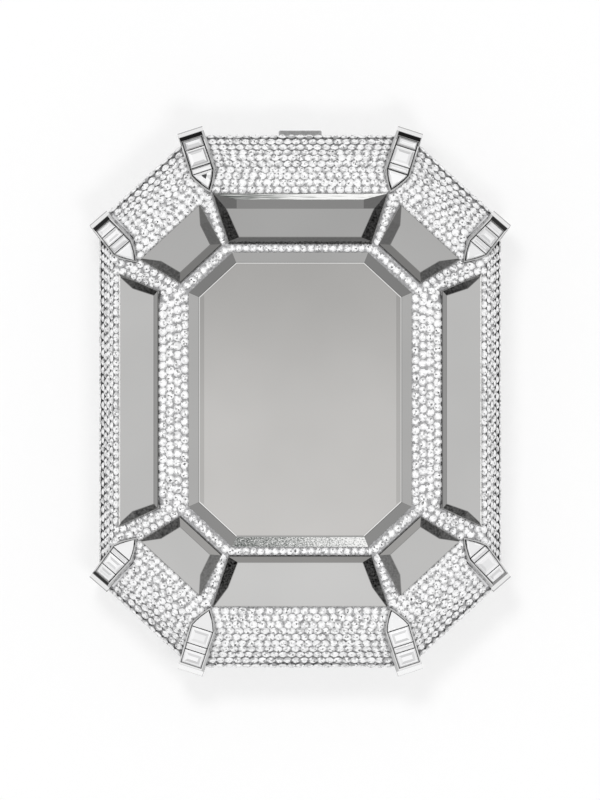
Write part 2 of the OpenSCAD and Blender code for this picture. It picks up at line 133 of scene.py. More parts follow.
def reach_at(rings, z, d=0):
    """Distance of a wall from the centre at height z, with its surface moved in by d."""
    section = inset_section(rings, d)
    for (r0, z0), (r1, z1) in zip(section, section[1:]):
        if z >= z1:
            return r0 + (r1 - r0) * (z0 - z) / (z0 - z1)
    return section[-1][0]


def form_height(x, y, d):
    """Height of the half's outer form over a point of its plan, with every surface moved in by d."""
    height = CROWN_Z - d
    for rings, angle in WALLS:
        r = x * math.cos(angle) + y * math.sin(angle)
        section = inset_section(rings, d)
        for (r0, z0), (r1, z1) in zip(section, section[1:]):
            if r0 < r <= r1:
                height = min(height, z0 + (z1 - z0) * (r - r0) / (r1 - r0))
        if r > section[-1][0]:
            height = 0
    return height


def wall_point(angle, r, u):
    """Plan point at r from the centre on a wall's normal, and u along the wall."""
    return (math.cos(angle) * r - math.sin(angle) * u, math.sin(angle) * r + math.cos(angle) * u)


def wall_span(i, r, reach):
    """The stretch of wall i at r from the centre that lies between its neighbours' reaches."""
    (after, angle_after), (before, angle_before) = WALLS[(i + 1) % 8], WALLS[i - 1]
    turn_after = (angle_after - WALLS[i][1]) % (2 * math.pi)
    turn_before = (WALLS[i][1] - angle_before) % (2 * math.pi)
    return (-(reach(before) - r * math.cos(turn_before)) / math.sin(turn_before),
            (reach(after) - r * math.cos(turn_after)) / math.sin(turn_after))


print("section of a side wall:", [(round(r, 1), round(z, 1)) for r, z in wall_section(SIDE)])

# %% [markdown]
# ## Finishes
#
# Polished metal and mirror glass show little of their own colour: they show the studio. So their
# materials stay simple, with a faint unevenness that keeps them from looking perfect. The claws and
# the mirrors add a tone on each face, kept in a face attribute, that paints reflection and shade into
# their colour. The cut stones are backed with white foil, so they are modelled as bright bodies whose
# facets each carry a tone, kept in a face attribute, under a hard gloss; these tones paint the sparkle.
#
# A tree of nodes is written as nested calls. A socket is given a plain value, or a pair of a node and
# the name or number of its output, which makes the link.


# %% Helpers that start a material and wire its nodes
def wire(tree, node, sockets):
    for key, value in sockets.items():
        if isinstance(value, tuple) and isinstance(value[0], bpy.types.Node):
            tree.links.new(value[0].outputs[value[1]], node.inputs[key])
        else:
            node.inputs[key].default_value = value
    return node


def add_node(tree, kind, sockets=None, **settings):
    node = tree.nodes.new(kind)
    for key, value in settings.items():
        setattr(node, key, value)
    return wire(tree, node, sockets or {})


def new_finish(name, **values):
    material = bpy.data.materials.new(name)
    material.use_nodes = True
    tree = material.node_tree
    sockets = {socket.replace("_", " "): value for socket, value in values.items()}
    return material, tree, wire(tree, tree.nodes["Principled BSDF"], sockets)


def add_math(tree, operation, *terms, **settings):
    return add_node(tree, "ShaderNodeMath", dict(enumerate(terms)), operation=operation, **settings), "Value"


def object_place(tree):
    return add_node(tree, "ShaderNodeTexCoord"), "Object"


def noise_on_object(tree, scale, detail=3.0):
    """Noise that reads the object's own coordinates, in the metres of the model."""
    return add_node(tree, "ShaderNodeTexNoise", {"Vector": object_place(tree), "Scale": scale,
                                                 "Detail": detail}), "Fac"


def cells_on_object(tree, scale, feature):
    return add_node(tree, "ShaderNodeTexVoronoi", {"Vector": object_place(tree), "Scale": scale},
                    feature=feature), "Distance"


def ramp_from(tree, source, stops):
    ramp = add_node(tree, "ShaderNodeValToRGB", {"Fac": source})
    elements = ramp.color_ramp.elements
    while len(elements) < len(stops):
        elements.new(0.5)
    for element, (place, colour) in zip(elements, stops):
        element.position = place
        element.color = (*colour, 1)
    return ramp, "Color"


def range_from(tree, source, low, high, to_low, to_high):
    return add_node(tree, "ShaderNodeMapRange", {"Value": source, "From Min": low, "From Max": high,
                                                 "To Min": to_low, "To Max": to_high}), "Result"


def bump_from(tree, source, depth, strength=1.0):
    return add_node(tree, "ShaderNodeBump", {"Height": source, "Distance": depth,
                                             "Strength": strength}), "Normal"


def tone_of_faces(tree):
    return add_node(tree, "ShaderNodeAttribute", attribute_type="GEOMETRY", attribute_name="tone"), "Fac"


def grey(value, warm=0.0):
    return (value * (1 + warm), value, value * (1 - warm))


# %% Polished metal, plated sheet and brushed steel
def metal_finish(name, dark, light, rough_low, rough_high):
    material, tree, shader = new_finish(name, Metallic=1.0)
    noise = noise_on_object(tree, 900.0)
    wire(tree, shader, {"Base Color": ramp_from(tree, noise, [(0.3, dark), (0.7, light)]),
                        "Roughness": range_from(tree, noise, 0.3, 0.7, rough_low, rough_high),
                        "Normal": bump_from(tree, noise, 0.000004)})
    return material


polished = metal_finish("polished_metal", (0.74, 0.74, 0.75), (0.84, 0.84, 0.85), 0.07, 0.14)
plated = metal_finish("plated_sheet", (0.62, 0.62, 0.63), (0.74, 0.74, 0.75), 0.16, 0.28)
steel = metal_finish("spring_steel", (0.5, 0.5, 0.52), (0.64, 0.64, 0.66), 0.22, 0.36)
clasp_metal = metal_finish("clasp_metal", grey(0.5), grey(0.66), 0.16, 0.26)
# The claw metal takes its brightness face by face from the tone attribute: painted shade and painted
# reflection.
claw_metal, tree, shader = new_finish("claw_metal", Metallic=1.0)
wire(tree, shader, {"Roughness": range_from(tree, noise_on_object(tree, 1500), 0.3, 0.7, 0.08, 0.16),
                    "Base Color": ramp_from(tree, tone_of_faces(tree), [(0.0, grey(0)), (1.0, grey(0.93))])})
print("metals:", polished.name, plated.name, steel.name, claw_metal.name, clasp_metal.name)

# %% Cut stones with foil behind them, and the metal mesh that they are set in
# The stones' colour follows each facet's tone, from near black to white: painted sparkle, reflection and
# shade.
crystal, tree, shader = new_finish("crystal", Roughness=0.06, IOR=1.55)
wire(tree, shader, {"Base Color": ramp_from(tree, tone_of_faces(tree), [(0.0, (0.03, 0.03, 0.032)),
                                                                        (1.0, (0.97, 0.97, 0.975))])})
bed_metal, tree, shader = new_finish("setting_mesh", Metallic=0.6, Roughness=0.38)
cells = cells_on_object(tree, 900, "F1")
mesh_stops = [(0.15, (0.88, 0.88, 0.89)), (0.5, (0.55, 0.55, 0.56))]
wire(tree, shader, {"Base Color": ramp_from(tree, cells, mesh_stops),
                    "Normal": bump_from(tree, cells, -0.0002)})
print("stones:", crystal.name, "on", bed_metal.name)

# %% Mirror glass: each ground face carries its tone of painted reflection and shade
mirror_glass, tree, shader = new_finish("mirror_glass", Metallic=1.0, Roughness=0.03)
tone = tone_of_faces(tree)
clouds = range_from(tree, noise_on_object(tree, 30.0, 2.0), 0.3, 0.7, 0.97, 1.03)
level = add_math(tree, "MULTIPLY", tone, clouds)
# Streaky noise only on the dark ground faces, as part of their painted reflection.
dark_face_streaks = range_from(tree, noise_on_object(tree, 1600.0, 4.0), 0.3, 0.7, -1.0, 1.0)
streak = add_math(tree, "MULTIPLY_ADD", dark_face_streaks, range_from(tree, tone, 0.15, 0.4, 0.075, 0.0), level)
wire(tree, shader, {"Base Color": ramp_from(tree, streak, [(0.0, grey(0)), (1.0, (0.9, 0.895, 0.885))])})
print("mirror:", mirror_glass.name)


# %% Painted reflection streaks on some ground edges, painted brighter towards the right
def streaked_finish(name, scale, dimmest_at, brightest_at):
    material, tree, shader = new_finish(name, Metallic=0.25, Roughness=0.1)
    place = object_place(tree)
    drawn_out = add_node(tree, "ShaderNodeMapping", {"Vector": place, "Scale": scale})
    noise = add_node(tree, "ShaderNodeTexNoise", {"Vector": (drawn_out, "Vector"), "Scale": 1.0,
                                                  "Detail": 1.0})
    along = add_node(tree, "ShaderNodeSeparateXYZ", {"Vector": place})
    # Painted light: the streaks grow brighter towards the right of the case.
    painted_light_rightwards = range_from(tree, (along, "X"), dimmest_at, brightest_at, -0.2, 0.26)
    streak_paint = add_math(tree, "ADD", (noise, "Fac"), painted_light_rightwards)
    stops = [(0.24, (0.06, 0.07, 0.065)), (0.5, (0.4, 0.41, 0.4)), (0.68, (0.97, 0.97, 0.96))]
    wire(tree, shader, {"Base Color": ramp_from(tree, streak_paint, stops)})
    return material


bevel_reflection_streaks = streaked_finish("bevel_reflection_streaks", (2200, 3600, 3600), -0.03, 0.03)
drawn_reflection_streaks = streaked_finish("drawn_reflection_streaks", (150, 3600, 3600), -0.024, 0.006)
print("streaks:", bevel_reflection_streaks.name, drawn_reflection_streaks.name)

# %% [markdown]
# ## The studio
#
# Everything round the case is pale: a white floor, a white horizon, and a soft grey ceiling. Mirrors
# that lie flat see the ceiling, so it has a slow change from the hinge side to the clasp side, and
# rings of other greys lower down that the tilted panels and their bevels see. Camera, glossy and
# transmission rays see this studio, and the diffuse light is an even white.

# %% The world
RING_GREYS = ((0.0, 1), (0.2, 1), (0.34, 0.66), (0.5, 0.5), (0.62, 0.66), (0.76, 0.6),
              (0.87, 0.55), (0.97, 0.56))
CEILING_GREYS = ((0.0, 0.74), (0.5, 0.69), (0.88, 0.52), (1.0, 0.49))
CEILING_WARMTH = 0.012
world = bpy.data.worlds.new("studio")
world.use_nodes = True
scene.world = world
tree = world.node_tree
tree.nodes.clear()
direction = add_node(tree, "ShaderNodeTexCoord"), "Generated"
parts = add_node(tree, "ShaderNodeSeparateXYZ", {"Vector": direction})
north, up = (parts, "Y"), (parts, "Z")
rings_of_grey = ramp_from(tree, up, [(place, grey(tone)) for place, tone in RING_GREYS])
darker_north = range_from(tree, north, -1.0, 1.0, 1.4, 0.6)
slanted = add_node(tree, "ShaderNodeVectorMath", {0: rings_of_grey, "Scale": darker_north}, operation="SCALE")
slope_mix = add_node(tree, "ShaderNodeMix", {"Factor": range_from(tree, up, 0.2, 0.34, 0.0, 1.0),
                                             6: rings_of_grey, 7: (slanted, 0)}, data_type="RGBA")
ceiling = ramp_from(tree, range_from(tree, north, 0.0137, 0.0315, 0.0, 1.0),
                    [(place, grey(tone, CEILING_WARMTH)) for place, tone in CEILING_GREYS])
studio = add_node(tree, "ShaderNodeMix", {"Factor": range_from(tree, up, 0.985, 0.994, 0.0, 1.0),
                                          6: (slope_mix, 2), 7: ceiling}, data_type="RGBA")
print("studio rings:", len(RING_GREYS))

# %% Which rays see the studio, and how bright the even light is
EVEN_LIGHT = 0.78


def camera_or_glossy(tree, rays):
    return add_math(tree, "ADD", (rays, "Is Camera Ray"), (rays, "Is Glossy Ray"), use_clamp=True)


rays = add_node(tree, "ShaderNodeLightPath")
seen = add_math(tree, "ADD", camera_or_glossy(tree, rays), (rays, "Is Transmission Ray"), use_clamp=True)
even = add_node(tree, "ShaderNodeBackground", {"Strength": EVEN_LIGHT})
room = add_node(tree, "ShaderNodeBackground", {"Color": (studio, 2)})
either = add_node(tree, "ShaderNodeMixShader", {"Fac": seen, 1: (even, 0), 2: (room, 0)})
add_node(tree, "ShaderNodeOutputWorld", {"Surface": (either, 0)})
print("even light", EVEN_LIGHT)

# %% The white floor, which keeps the case's shadow
FLOOR_HALF, FLOOR_Z, FLOOR_GLOW = 6.0, -0.0002, 0.6
floor_white, tree, shader = new_finish("floor_white", Roughness=0.6, Specular_IOR_Level=0.1)
whites = ramp_from(tree, noise_on_object(tree, 4.0), [(0.3, grey(0.93)), (0.7, grey(0.95))])
wire(tree, shader, {"Base Color": whites})
share = camera_or_glossy(tree, add_node(tree, "ShaderNodeLightPath"))
glow = add_node(tree, "ShaderNodeEmission")
blend_in = add_node(tree, "ShaderNodeMixShader", {"Fac": add_math(tree, "MULTIPLY", share, FLOOR_GLOW),
                                                  1: (shader, 0), 2: (glow, 0)})
wire(tree, tree.nodes["Material Output"], {"Surface": (blend_in, 0)})
floor_mesh = bpy.data.meshes.new("studio_floor")
floor_plan = ((-1, -1), (1, -1), (1, 1), (-1, 1))
floor_mesh.from_pydata([(x * FLOOR_HALF, y * FLOOR_HALF, FLOOR_Z) for x, y in floor_plan], [], [(0, 1, 2, 3)])
floor_mesh.materials.append(floor_white)
floor = link_object("studio_floor", floor_mesh)
print("floor:", floor.name)


# %% Two soft lamps that the mirrors don't show
def soft_lamp(name, azimuth, power, elevation=75, distance=1.6, size=0.3):
    lamp = bpy.data.lights.new(name, "AREA")
    lamp.shape = "DISK"
    lamp.size = size
    lamp.energy = power
    holder = link_object(name, lamp)
    a, e = math.radians(azimuth), math.radians(elevation)
    away = Vector((math.cos(a) * math.cos(e), math.sin(a) * math.cos(e), math.sin(e)))
    holder.location = away * distance
    holder.rotation_mode = "QUATERNION"
    holder.rotation_quaternion = away.to_track_quat("Z", "Y")
    holder.visible_glossy = False
    return holder


lamps = [soft_lamp("key_lamp", 112, 7.0), soft_lamp("fill_lamp", 292, 5.0)]
print("lamps:", [lamp.name for lamp in lamps])

# %% [markdown]
# ## Small helpers for pieces
#
# Every finished piece is a mesh whose object sits at the origin. Points are worked out on the front
# half, in millimetres above the parting plane, and `on_half` puts them on either half. Most bodies
# here are a stack of loops with the same number of points, closed by a cap at each end.


# %% From the front half's numbers to the model's metres
def on_half(half, p):
    return Vector((p[0], p[1], PARTING + (p[2] if half == "front" else -p[2]))) * MM


def facing_on_half(half, n):
    return Vector((n[0], n[1], n[2] if half == "front" else -n[2]))


def edges_of(outline):
    return zip(outline, outline[1:] + outline[:1])


def stack_faces(n, levels):
    """Faces of a stack of loops of n points: a cap, the walls level by level, and the other cap."""
    walls = [(a + i, a + (i + 1) % n, a + n + (i + 1) % n, a + n + i)
             for a in range(0, (levels - 1) * n, n) for i in range(n)]
    return [tuple(range(n))] + walls + [tuple(range((levels - 1) * n, levels * n))]


def piece_from(shape, name, materials):
    """Turns the shape's faces outwards and makes it a piece of its own."""
    bmesh.ops.recalc_face_normals(shape, faces=shape.faces)
    mesh = bpy.data.meshes.new(name)
    shape.to_mesh(mesh)
    shape.free()
    mesh.materials.clear()
    for material in materials:
        mesh.materials.append(material)
    return link_object(name, mesh)


def new_piece(name, points, faces, materials, tones=None, slots=None):
    """A mesh piece from points in metres. Tones and material slots are one number for each face."""
    mesh = bpy.data.meshes.new(name)
    mesh.from_pydata([tuple(p) for p in points], [], faces)
    for material in materials:
        mesh.materials.append(material)
    if slots:
        mesh.polygons.foreach_set("material_index", slots)
    if tones:
        mesh.attributes.new("tone", "FLOAT", "FACE").data.foreach_set("value", tones)
    shape = bmesh.new()
    shape.from_mesh(mesh)
    bmesh.ops.recalc_face_normals(shape, faces=shape.faces)
    shape.to_mesh(mesh)
    shape.free()
    return link_object(name, mesh)


def smooth_under(piece, angle):
    mesh = piece.data
    mesh.polygons.foreach_set("use_smooth", [True] * len(mesh.polygons))
    mesh.set_sharp_from_angle(angle=math.radians(angle))


def settle(piece, body, slot, *replaced):
    """The piece rides on its body and stands for the model's solids it replaces. The slot is not used."""
    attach(piece, body)
    if replaced:
        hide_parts(*replaced)
    return piece


def body_of_half(half):
    return half + "_half"


def triangles(piece):
    return sum(len(face.vertices) - 2 for face in piece.data.polygons)


# %% [markdown]
# ## The mirrors
#
# Each mirror is a plate of silvered glass with a wide ground bevel. Where the bevel meets the face,
# the grinding wheel leaves a narrow softer line; its light tone is a painted highlight. So a plate is
# built from rings: seat, ground edge, end of the bevel, arris and face. Every face of the plate has a
# tone that darkens the silver: painted reflection of the other parts of the room that the bevels of
# the tilted panels would show, and painted shade where the glass's own edge darkens the steep ones.


# %% Facet frames and corners
def facet_frame(rings, angle):
    """Origin and axes of a sloped facet: u along the ridge, v down the slope, w out of it."""
    fall = math.atan2(CROWN_Z - BAND_Z, rings[1] - rings[2])
    out = Vector((math.cos(angle), math.sin(angle), 0))
    u = Vector((-math.sin(angle), math.cos(angle), 0))
    v = out * math.cos(fall) + Vector((0, 0, -math.sin(fall)))
    w = out * math.sin(fall) + Vector((0, 0, math.cos(fall)))
    return out * rings[2] + Vector((0, 0, CROWN_Z)), u, v, w


def in_frame(place, a, b, c=0):
    origin, u, v, w = place
    return origin + u * a + v * b + w * c


def long_corner(a, c):
    return (a, (c - a * math.cos(CORNER)) / math.sin(CORNER))


def end_corner(b, c):
    return ((c - b * math.sin(CORNER)) / math.cos(CORNER), b)


def octagon(a, b, c):
    p, q = long_corner(a, c), end_corner(b, c)
    return [p, q, (-q[0], q[1]), (-p[0], p[1]), (-p[0], -p[1]), (-q[0], -q[1]), (q[0], -q[1]), (p[0], -p[1])]


def along_corner(p):
    return -p[0] * math.sin(CORNER) + p[1] * math.cos(CORNER)


def slope_share(rings):
    return math.hypot(rings[1] - rings[2], CROWN_Z - BAND_Z) / (rings[1] - rings[2])


# %% Outlines of the nine mirrors of a half
TABLE_GAP, BAND_GAP = 0.15, 0.4
END_REACHES, SIDE_REACHES = (-1.6, -1.6), (3.7, 0.5)
CORNER_LOW, BAND_LOW, CORNER_HIGH, CORNER_TIP, CORNER_OUT = 8.8, 7.7, 3.2, 0.4, 1.5


def straight_outline(rings, long, table_reach, band_reach):
    """A panel whose ends reach past the ridges beside it, or stop short of them."""
    k = 1 if long else 0
    corner = long_corner if long else end_corner
    w = rings[1] - rings[2]
    p, q = corner(rings[2], CUT[2])[k], corner(rings[1], CUT[1])[k]
    near = p + (q - p) * TABLE_GAP / w + table_reach
    far = p + (q - p) * (1 - BAND_GAP / w) + band_reach
    s = slope_share(rings)
    top, foot = TABLE_GAP * s, (w - BAND_GAP) * s
    return [(-near, top), (near, top), (far, foot), (-far, foot)]


corner_slope = slope_share(CUT)
corner_w = CUT[1] - CUT[2]
out_share = 1 - CORNER_OUT / corner_w
in_low, out_low = [along_corner(long_corner(SIDE[i], CUT[i])) for i in (2, 1)]
in_high, out_high = [along_corner(end_corner(END[i], CUT[i])) for i in (2, 1)]
corner_top, corner_foot = TABLE_GAP * corner_slope, corner_w * out_share * corner_slope
corner_outline = [(in_low + CORNER_LOW, corner_top), (in_high - CORNER_TIP, corner_top),
                  (in_high + (out_high - in_high) * out_share - CORNER_HIGH, corner_foot),
                  (in_low + (out_low - in_low) * out_share + BAND_LOW, corner_foot)]
PLATES = {"table": (octagon(SIDE[3], END[3], CUT[3]), (Vector((0, 0, CROWN_Z)), Vector((1, 0, 0)),
                                                       Vector((0, 1, 0)), Vector((0, 0, 1)))),
          "end": (straight_outline(END, False, *END_REACHES), facet_frame(END, quarter)),
          "side": (straight_outline(SIDE, True, *SIDE_REACHES), facet_frame(SIDE, 0)),
          "corner": (corner_outline, facet_frame(CUT, CORNER))}
print("corner mirror outline:", [(round(u, 1), round(v, 1)) for u, v in corner_outline])

# %% A bevelled plate as rings of points with a tone of painted reflection and shade for each ground face
PARALLEL = 0.01
# The plate's sides and underside are painted a dim grey as shade.
EDGE_H, EDGE_TONE = 0.15, 0.4


def cut_loop(points, insets):
    """The outline with each edge moved in by its own amounts at its two ends, in pairs."""
    lines = []
    for (a, b), (at_start, at_end) in zip(edges_of(points), insets):
        a, b = Vector(a), Vector(b)
        inward = Vector((-(b - a).y, (b - a).x)).normalized()
        lines.append((a + inward * at_start, b + inward * at_end))
    moved = []
    for (a, b), (c, d) in zip(lines[-1:] + lines[:-1], lines):
        e, f = b - a, d - c
        cross = e.x * f.y - e.y * f.x
        share = ((c.x - a.x) * f.y - (c.y - a.y) * f.x) / cross if abs(cross) > PARALLEL else None
        moved.append(tuple(c if share is None else a + e * share))
    return moved


def ground_plate(outline, rings, face_tone):
    """Rings are (insets of the edges, height, tones of the faces below the ring)."""
    n = len(outline)
    levels = [(outline, -STONE_T, None), (outline, EDGE_H, (EDGE_TONE,) * n)]
    levels += [(cut_loop(outline, insets), height, tones) for insets, height, tones in rings]
    points = [(u, v, height) for loop, height, tones in levels for u, v in loop]
    face_tones = [EDGE_TONE] + [tone for loop, height, tones in levels[1:] for tone in tones] + [face_tone]
    return points, stack_faces(n, len(levels)), face_tones


def with_bends(outline, share, taper):
    """The four corners of a panel and a point on each end, at a share of the way out. A taper adds
    two points on the outer edge, at that share from its ends."""
    a, b, c, d = (Vector(p) for p in outline)
    outer = [c, c.lerp(d, taper), d.lerp(c, taper), d] if taper else [c, d]
    return [tuple(p) for p in [a, b, b.lerp(c, share)] + outer + [a.lerp(d, share)]]


def even_insets(*amounts):
    return [(a, a) for a in amounts]


# %% [markdown]
# The ends of the panels are ground by hand, so their bevels start narrow at the band, bend, and run
# wide towards the table. The insets below are read off edge by edge: towards the table, right end in
# two parts, towards the band, left end in two parts. The tones are painted reflection and shade: how
# dark each ground face looks. The brightest arris tones are painted highlights.

# %% How each mirror is ground
# Painted reflection and shade of the table's bevel rings, edge by edge; the arris row holds painted
# highlights.
TABLE_TONES = (0.47, 0.93, 0.47, 0.84, 0.47, 1.0, 0.47, 0.84)
TABLE_LINE = (0.8, 0.84, 0.8, 0.7, 0.8, 0.84, 0.8, 0.7)
TABLE_ARRIS = (1.0, 0.92, 1.0, 0.8, 1.0, 0.35, 1.0, 0.8)
# The taper and the strip of the high end panel are painted dark as well, with a bright outer edge.
TAPER, TAPER_TONE = 0.14, 0.36
EDGE_IN, ARRIS_W = (0.22, 0.18, 0.18, 0.22, 0.18, 0.18), 0.2
STRIP_IN, STRIP_TONES = 0.26, (0.12, 0.2, 0.2, 1.0, 0.2, 0.2)


def widened(row, middle):
    """A row of six edges made eight: its outer edge becomes the three given ones."""
    return row[:3] + middle + row[4:]


def grind(inner, right, left, outer, tones, lines, arris, share=0.55, strip=None):
    """Rings of a panel: a fine ground edge, the bevel with its bends, and the arris. A strip along
    the outer edge is ground once more, and tapers off at its ends."""
    bevel = [(inner, inner), right[:2], right[1:], (outer, outer), left[:0:-1], left[1::-1]]
    arris_at = [(a + ARRIS_W, b + ARRIS_W) for a, b in bevel]
    rings = [[even_insets(*EDGE_IN), 0.3, lines], [bevel, 0.95, tones], [arris_at, 1.0, (arris,) * 6]]
    if strip:
        rings.insert(1, [even_insets(0.3, *(STRIP_IN,) * 5), 0.93, STRIP_TONES])
        rings = [[widened(insets, [insets[3]] * 3), height, widened(row, (row[3],) * 3)]
                 for insets, height, row in rings]
        rings[1][0][3:6] = [(STRIP_IN, strip), (strip, strip), (strip, STRIP_IN)]
        rings[2][2] = widened(tones, (TAPER_TONE, tones[3], TAPER_TONE))
    return share, rings


GRINDS = {
    "end_high": grind(1.65, (3.6, 2.7, 1.7), (3.6, 2.7, 1.7), 5.3, (0.31, 0.07, 0.1, 0.6, 0.1, 0.07),
                      (0.1, 0.3, 0.3, 0.3, 0.3, 0.3), 0.6, strip=2.35),
    "end_low": grind(1.7, (3.2, 2.7, 0.2), (3.2, 2.7, 0.2), 0.5, (0.6, 0.05, 0.09, 0.8, 0.09, 0.05),
                     (0.3, 0.25, 0.25, 0.5, 0.25, 0.25), 0.6),
    "side": grind(1.0, (1.6, 2.3, 0.25), (1.6, 2.3, 0.25), 0.9, (0.6, 0.1, 0.16, 0.97, 0.16, 0.1),
                  (0.3, 0.3, 0.3, 0.75, 0.3, 0.3), 0.5),
    "corner_high": grind(2.1, (3.1, 2.8, 0.1), (2.7, 2.7, 0.1), 0.3, (0.42, 0.3, 0.34, 0.6, 0.2, 0.16),
                         (0.12, 0.3, 0.3, 0.5, 0.25, 0.25), 0.5, 0.58),
    "corner_low": grind(2.1, (3.1, 2.8, 0.1), (2.7, 2.7, 0.1), 0.3, (0.5, 0.22, 0.26, 0.6, 0.16, 0.12),
                        (0.12, 0.25, 0.25, 0.5, 0.25, 0.25), 0.5, 0.58)}
TABLE_GRIND = [(even_insets(*(2.9,) * 8), 0.76, TABLE_TONES),
               (even_insets(*(3.12,) * 8), 0.8, tuple(0.7 * tone for tone in TABLE_TONES)),
               (even_insets(*(3.38,) * 8), 1.0, TABLE_ARRIS),
               (even_insets(3.7, 3.7, 3.7, 4.7, 3.7, 3.7, 3.7, 4.7), 1.0, TABLE_LINE)]
# Each kind of panel face is painted lighter or darker to stand for what it reflects.
FACE_TONES = {"table": 0.86, "end_high": 0.93, "end_low": 0.84, "side": 0.87,
              "corner_high": 0.95, "corner_low": 0.78}
STREAKED = {"table": (14,), "end_high": (20, 21, 22)}
print("ground rings of a panel:", len(GRINDS["side"][1]))

# %% Build the eighteen mirrors
PANELS = (("table", 1, 1), ("end_high", 1, 1), ("end_low", 1, -1), ("side_left", -1, 1), ("side_right", 1, 1),
          ("corner_high_left", -1, 1), ("corner_high_right", 1, 1), ("corner_low_left", -1, -1),
          ("corner_low_right", 1, -1))
mirrors = []
for half in HALVES:
    for panel, flip_x, flip_y in PANELS:
        kind = panel if panel in FACE_TONES else panel.rsplit("_", 1)[0]
        outline, place = PLATES[panel.split("_")[0]]
        rings = TABLE_GRIND
        if kind != "table":
            share, rings = GRINDS[kind]
            outline = with_bends(outline, share, TAPER if kind == "end_high" else 0)
        points, faces, tones = ground_plate(outline, rings, FACE_TONES[kind])
        placed = [in_frame(place, *point) for point in points]
        placed = [on_half(half, (p.x * flip_x, p.y * flip_y, p.z)) for p in placed]
        slots = [int(face in STREAKED.get(kind, ())) for face in range(len(faces))]
        streak_paint = drawn_reflection_streaks if kind == "end_high" else bevel_reflection_streaks
        piece = new_piece(f"{half}_{panel}_glass", placed, faces, [mirror_glass, streak_paint], tones, slots)
        mirrors.append(settle(piece, body_of_half(half), "mirror_glass", f"{half}_mirror_{panel}"))
print("mirrors:", len(mirrors))

# %% [markdown]
# ## The claws
#
# A claw is a metal channel with a pointed tip. Its back is folded to follow the rounded band, and its
# foot hangs over the girdle. Four cut stones lie in it. The channel is built from loops that all have
# the same number of points: the foot line, the outer wall, a small chamfer, the rim of the wall, and
# the channel's inside. Loops like these join with plain four-sided faces.

# %% Claw sizes and its place on the plan
CLAW_W, TIP_LEN, CHANNEL, FOOT_OUT, FOOT_Z = 8.4, 6.5, 1.3, 1.4, 5.0
HALF_W = CLAW_W / 2
ARCH = 0.36
RUNS, DROPS = (0, 0.35, 0.68, 1), (1.06, 0.98, 0.7, 0.22)
END_CLAWS = (1, 4, 5, 8)
KINDS = {True: {"length": 19.2, "lean": 0.6, "narrowing": 0.05, "turn": 3.5, "set_in": 0.7},
         False: {"length": 17.2, "lean": 0.9, "narrowing": 0.17, "turn": 2, "set_in": -0.2}}
# The four stones of a claw end at these shares of its length.
STONE_SHARES = {1: (0.35, 0.46, 0.76, 0.92), 8: (0.35, 0.45, 0.75, 0.92), 2: (0.38, 0.52, 0.76, 0.91),
                7: (0.38, 0.54, 0.74, 0.91), 3: (0.36, 0.47, 0.78, 0.96), 6: (0.4, 0.5, 0.74, 0.93),
                4: (0.36, 0.62, 0.72, 0.96), 5: (0.36, 0.63, 0.73, 0.96)}
# The foot and the bar at the claw's end get painted reflection and shade: tones for the dark or the white side
# of the room that they would show.
FOOT_REFLECTION_TONES, WHITE_FOOT_REFLECTION_TONES = (0.45, 0.88, 0.5, 0.35), (0.97, 1.0, 0.97, 0.7)
END_BAR_LIGHT_SHADE_TONES = {1: 0.01, 8: 0.01, 2: 0.03, 7: 0.02, 6: 0.04, 3: 0.3, 4: 0.9, 5: 0.9}


def claw_lean(k):
    """How much further the flank that faces the wider band slopes in."""
    return KINDS[k in END_CLAWS]["lean"]


def claw_len(k):
    """Length of claw k from its tip to the girdle's edge."""
    return KINDS[k in END_CLAWS]["length"]


def claw_height(k, x):
    """Height of the claw's back over the parting plane, at x from its tip."""
    runs = [share * claw_len(k) for share in RUNS]
    rises = [GIRDLE_H + BAND_DROP * share for share in DROPS]
    i = next((i for i in range(2) if x <= runs[i + 1]), 2)
    return rises[i] + (rises[i + 1] - rises[i]) * (x - runs[i]) / (runs[i + 1] - runs[i])


def claw_place(k, x, y):
    """Plan point of the half for a point of claw k, tip at zero and x along it."""
    is_end = k in END_CLAWS
    corner = end_corner(END[0], CUT[0]) if is_end else long_corner(SIDE[0], CUT[0])
    angle = ((quarter + CORNER) / 2 if is_end else CORNER) + math.radians(KINDS[is_end]["turn"])
    along = wall_point(angle, x - (claw_len(k) - KINDS[is_end]["set_in"]), y)
    px, py = corner[0] + along[0], corner[1] + along[1]
    return (-px if k > 4 else px, -py if 2 < k < 7 else py)


def tip_of(d):
    """Where the tip starts and how long it is, moved in by d."""
    return d * math.hypot(TIP_LEN, HALF_W) / HALF_W, TIP_LEN * (1 - d / HALF_W)


def claw_half_width(k, x, d=0.0):
    """Half the width at x: the flanks of the tip bulge like a pointed arch, then draw in to the end."""
    tip, point = tip_of(d)
    t = min(1.0, max(0.0, x - tip) / point)
    drawn_in = KINDS[k in END_CLAWS]["narrowing"] * max(0.0, x - TIP_LEN) / (claw_len(k) - TIP_LEN)
    return (HALF_W - d) * ((1 + ARCH) * t - ARCH * t * t) - HALF_W * drawn_in


def claw_stations(k, d, last):
    tip, point = tip_of(d)
    length = claw_len(k)
    return tip, [tip + point * share for share in (0.2, 0.42, 0.7, 1.0)] + [
        max(0.5 * length, tip + point + 0.4), 0.68 * length, 0.85 * length, last]


def claw_loop(k, d, last, lean=0.0):
    """Points (x, y) round the claw, moved in by d, with the same count for every d.
    Lean moves the flank that faces the wider band in by a little more."""
    tip, stations = claw_stations(k, d, last)
    right = [(x, -claw_half_width(k, x, d)) for x in stations]
    left = [(x, -y - lean * min(1.0, -y / (HALF_W - d))) for x, y in reversed(right)]
    return [(tip, 0.0)] + right + [(last, -lean / 2)] + left


print("claw loop points:", len(claw_loop(1, 0, claw_len(1))))

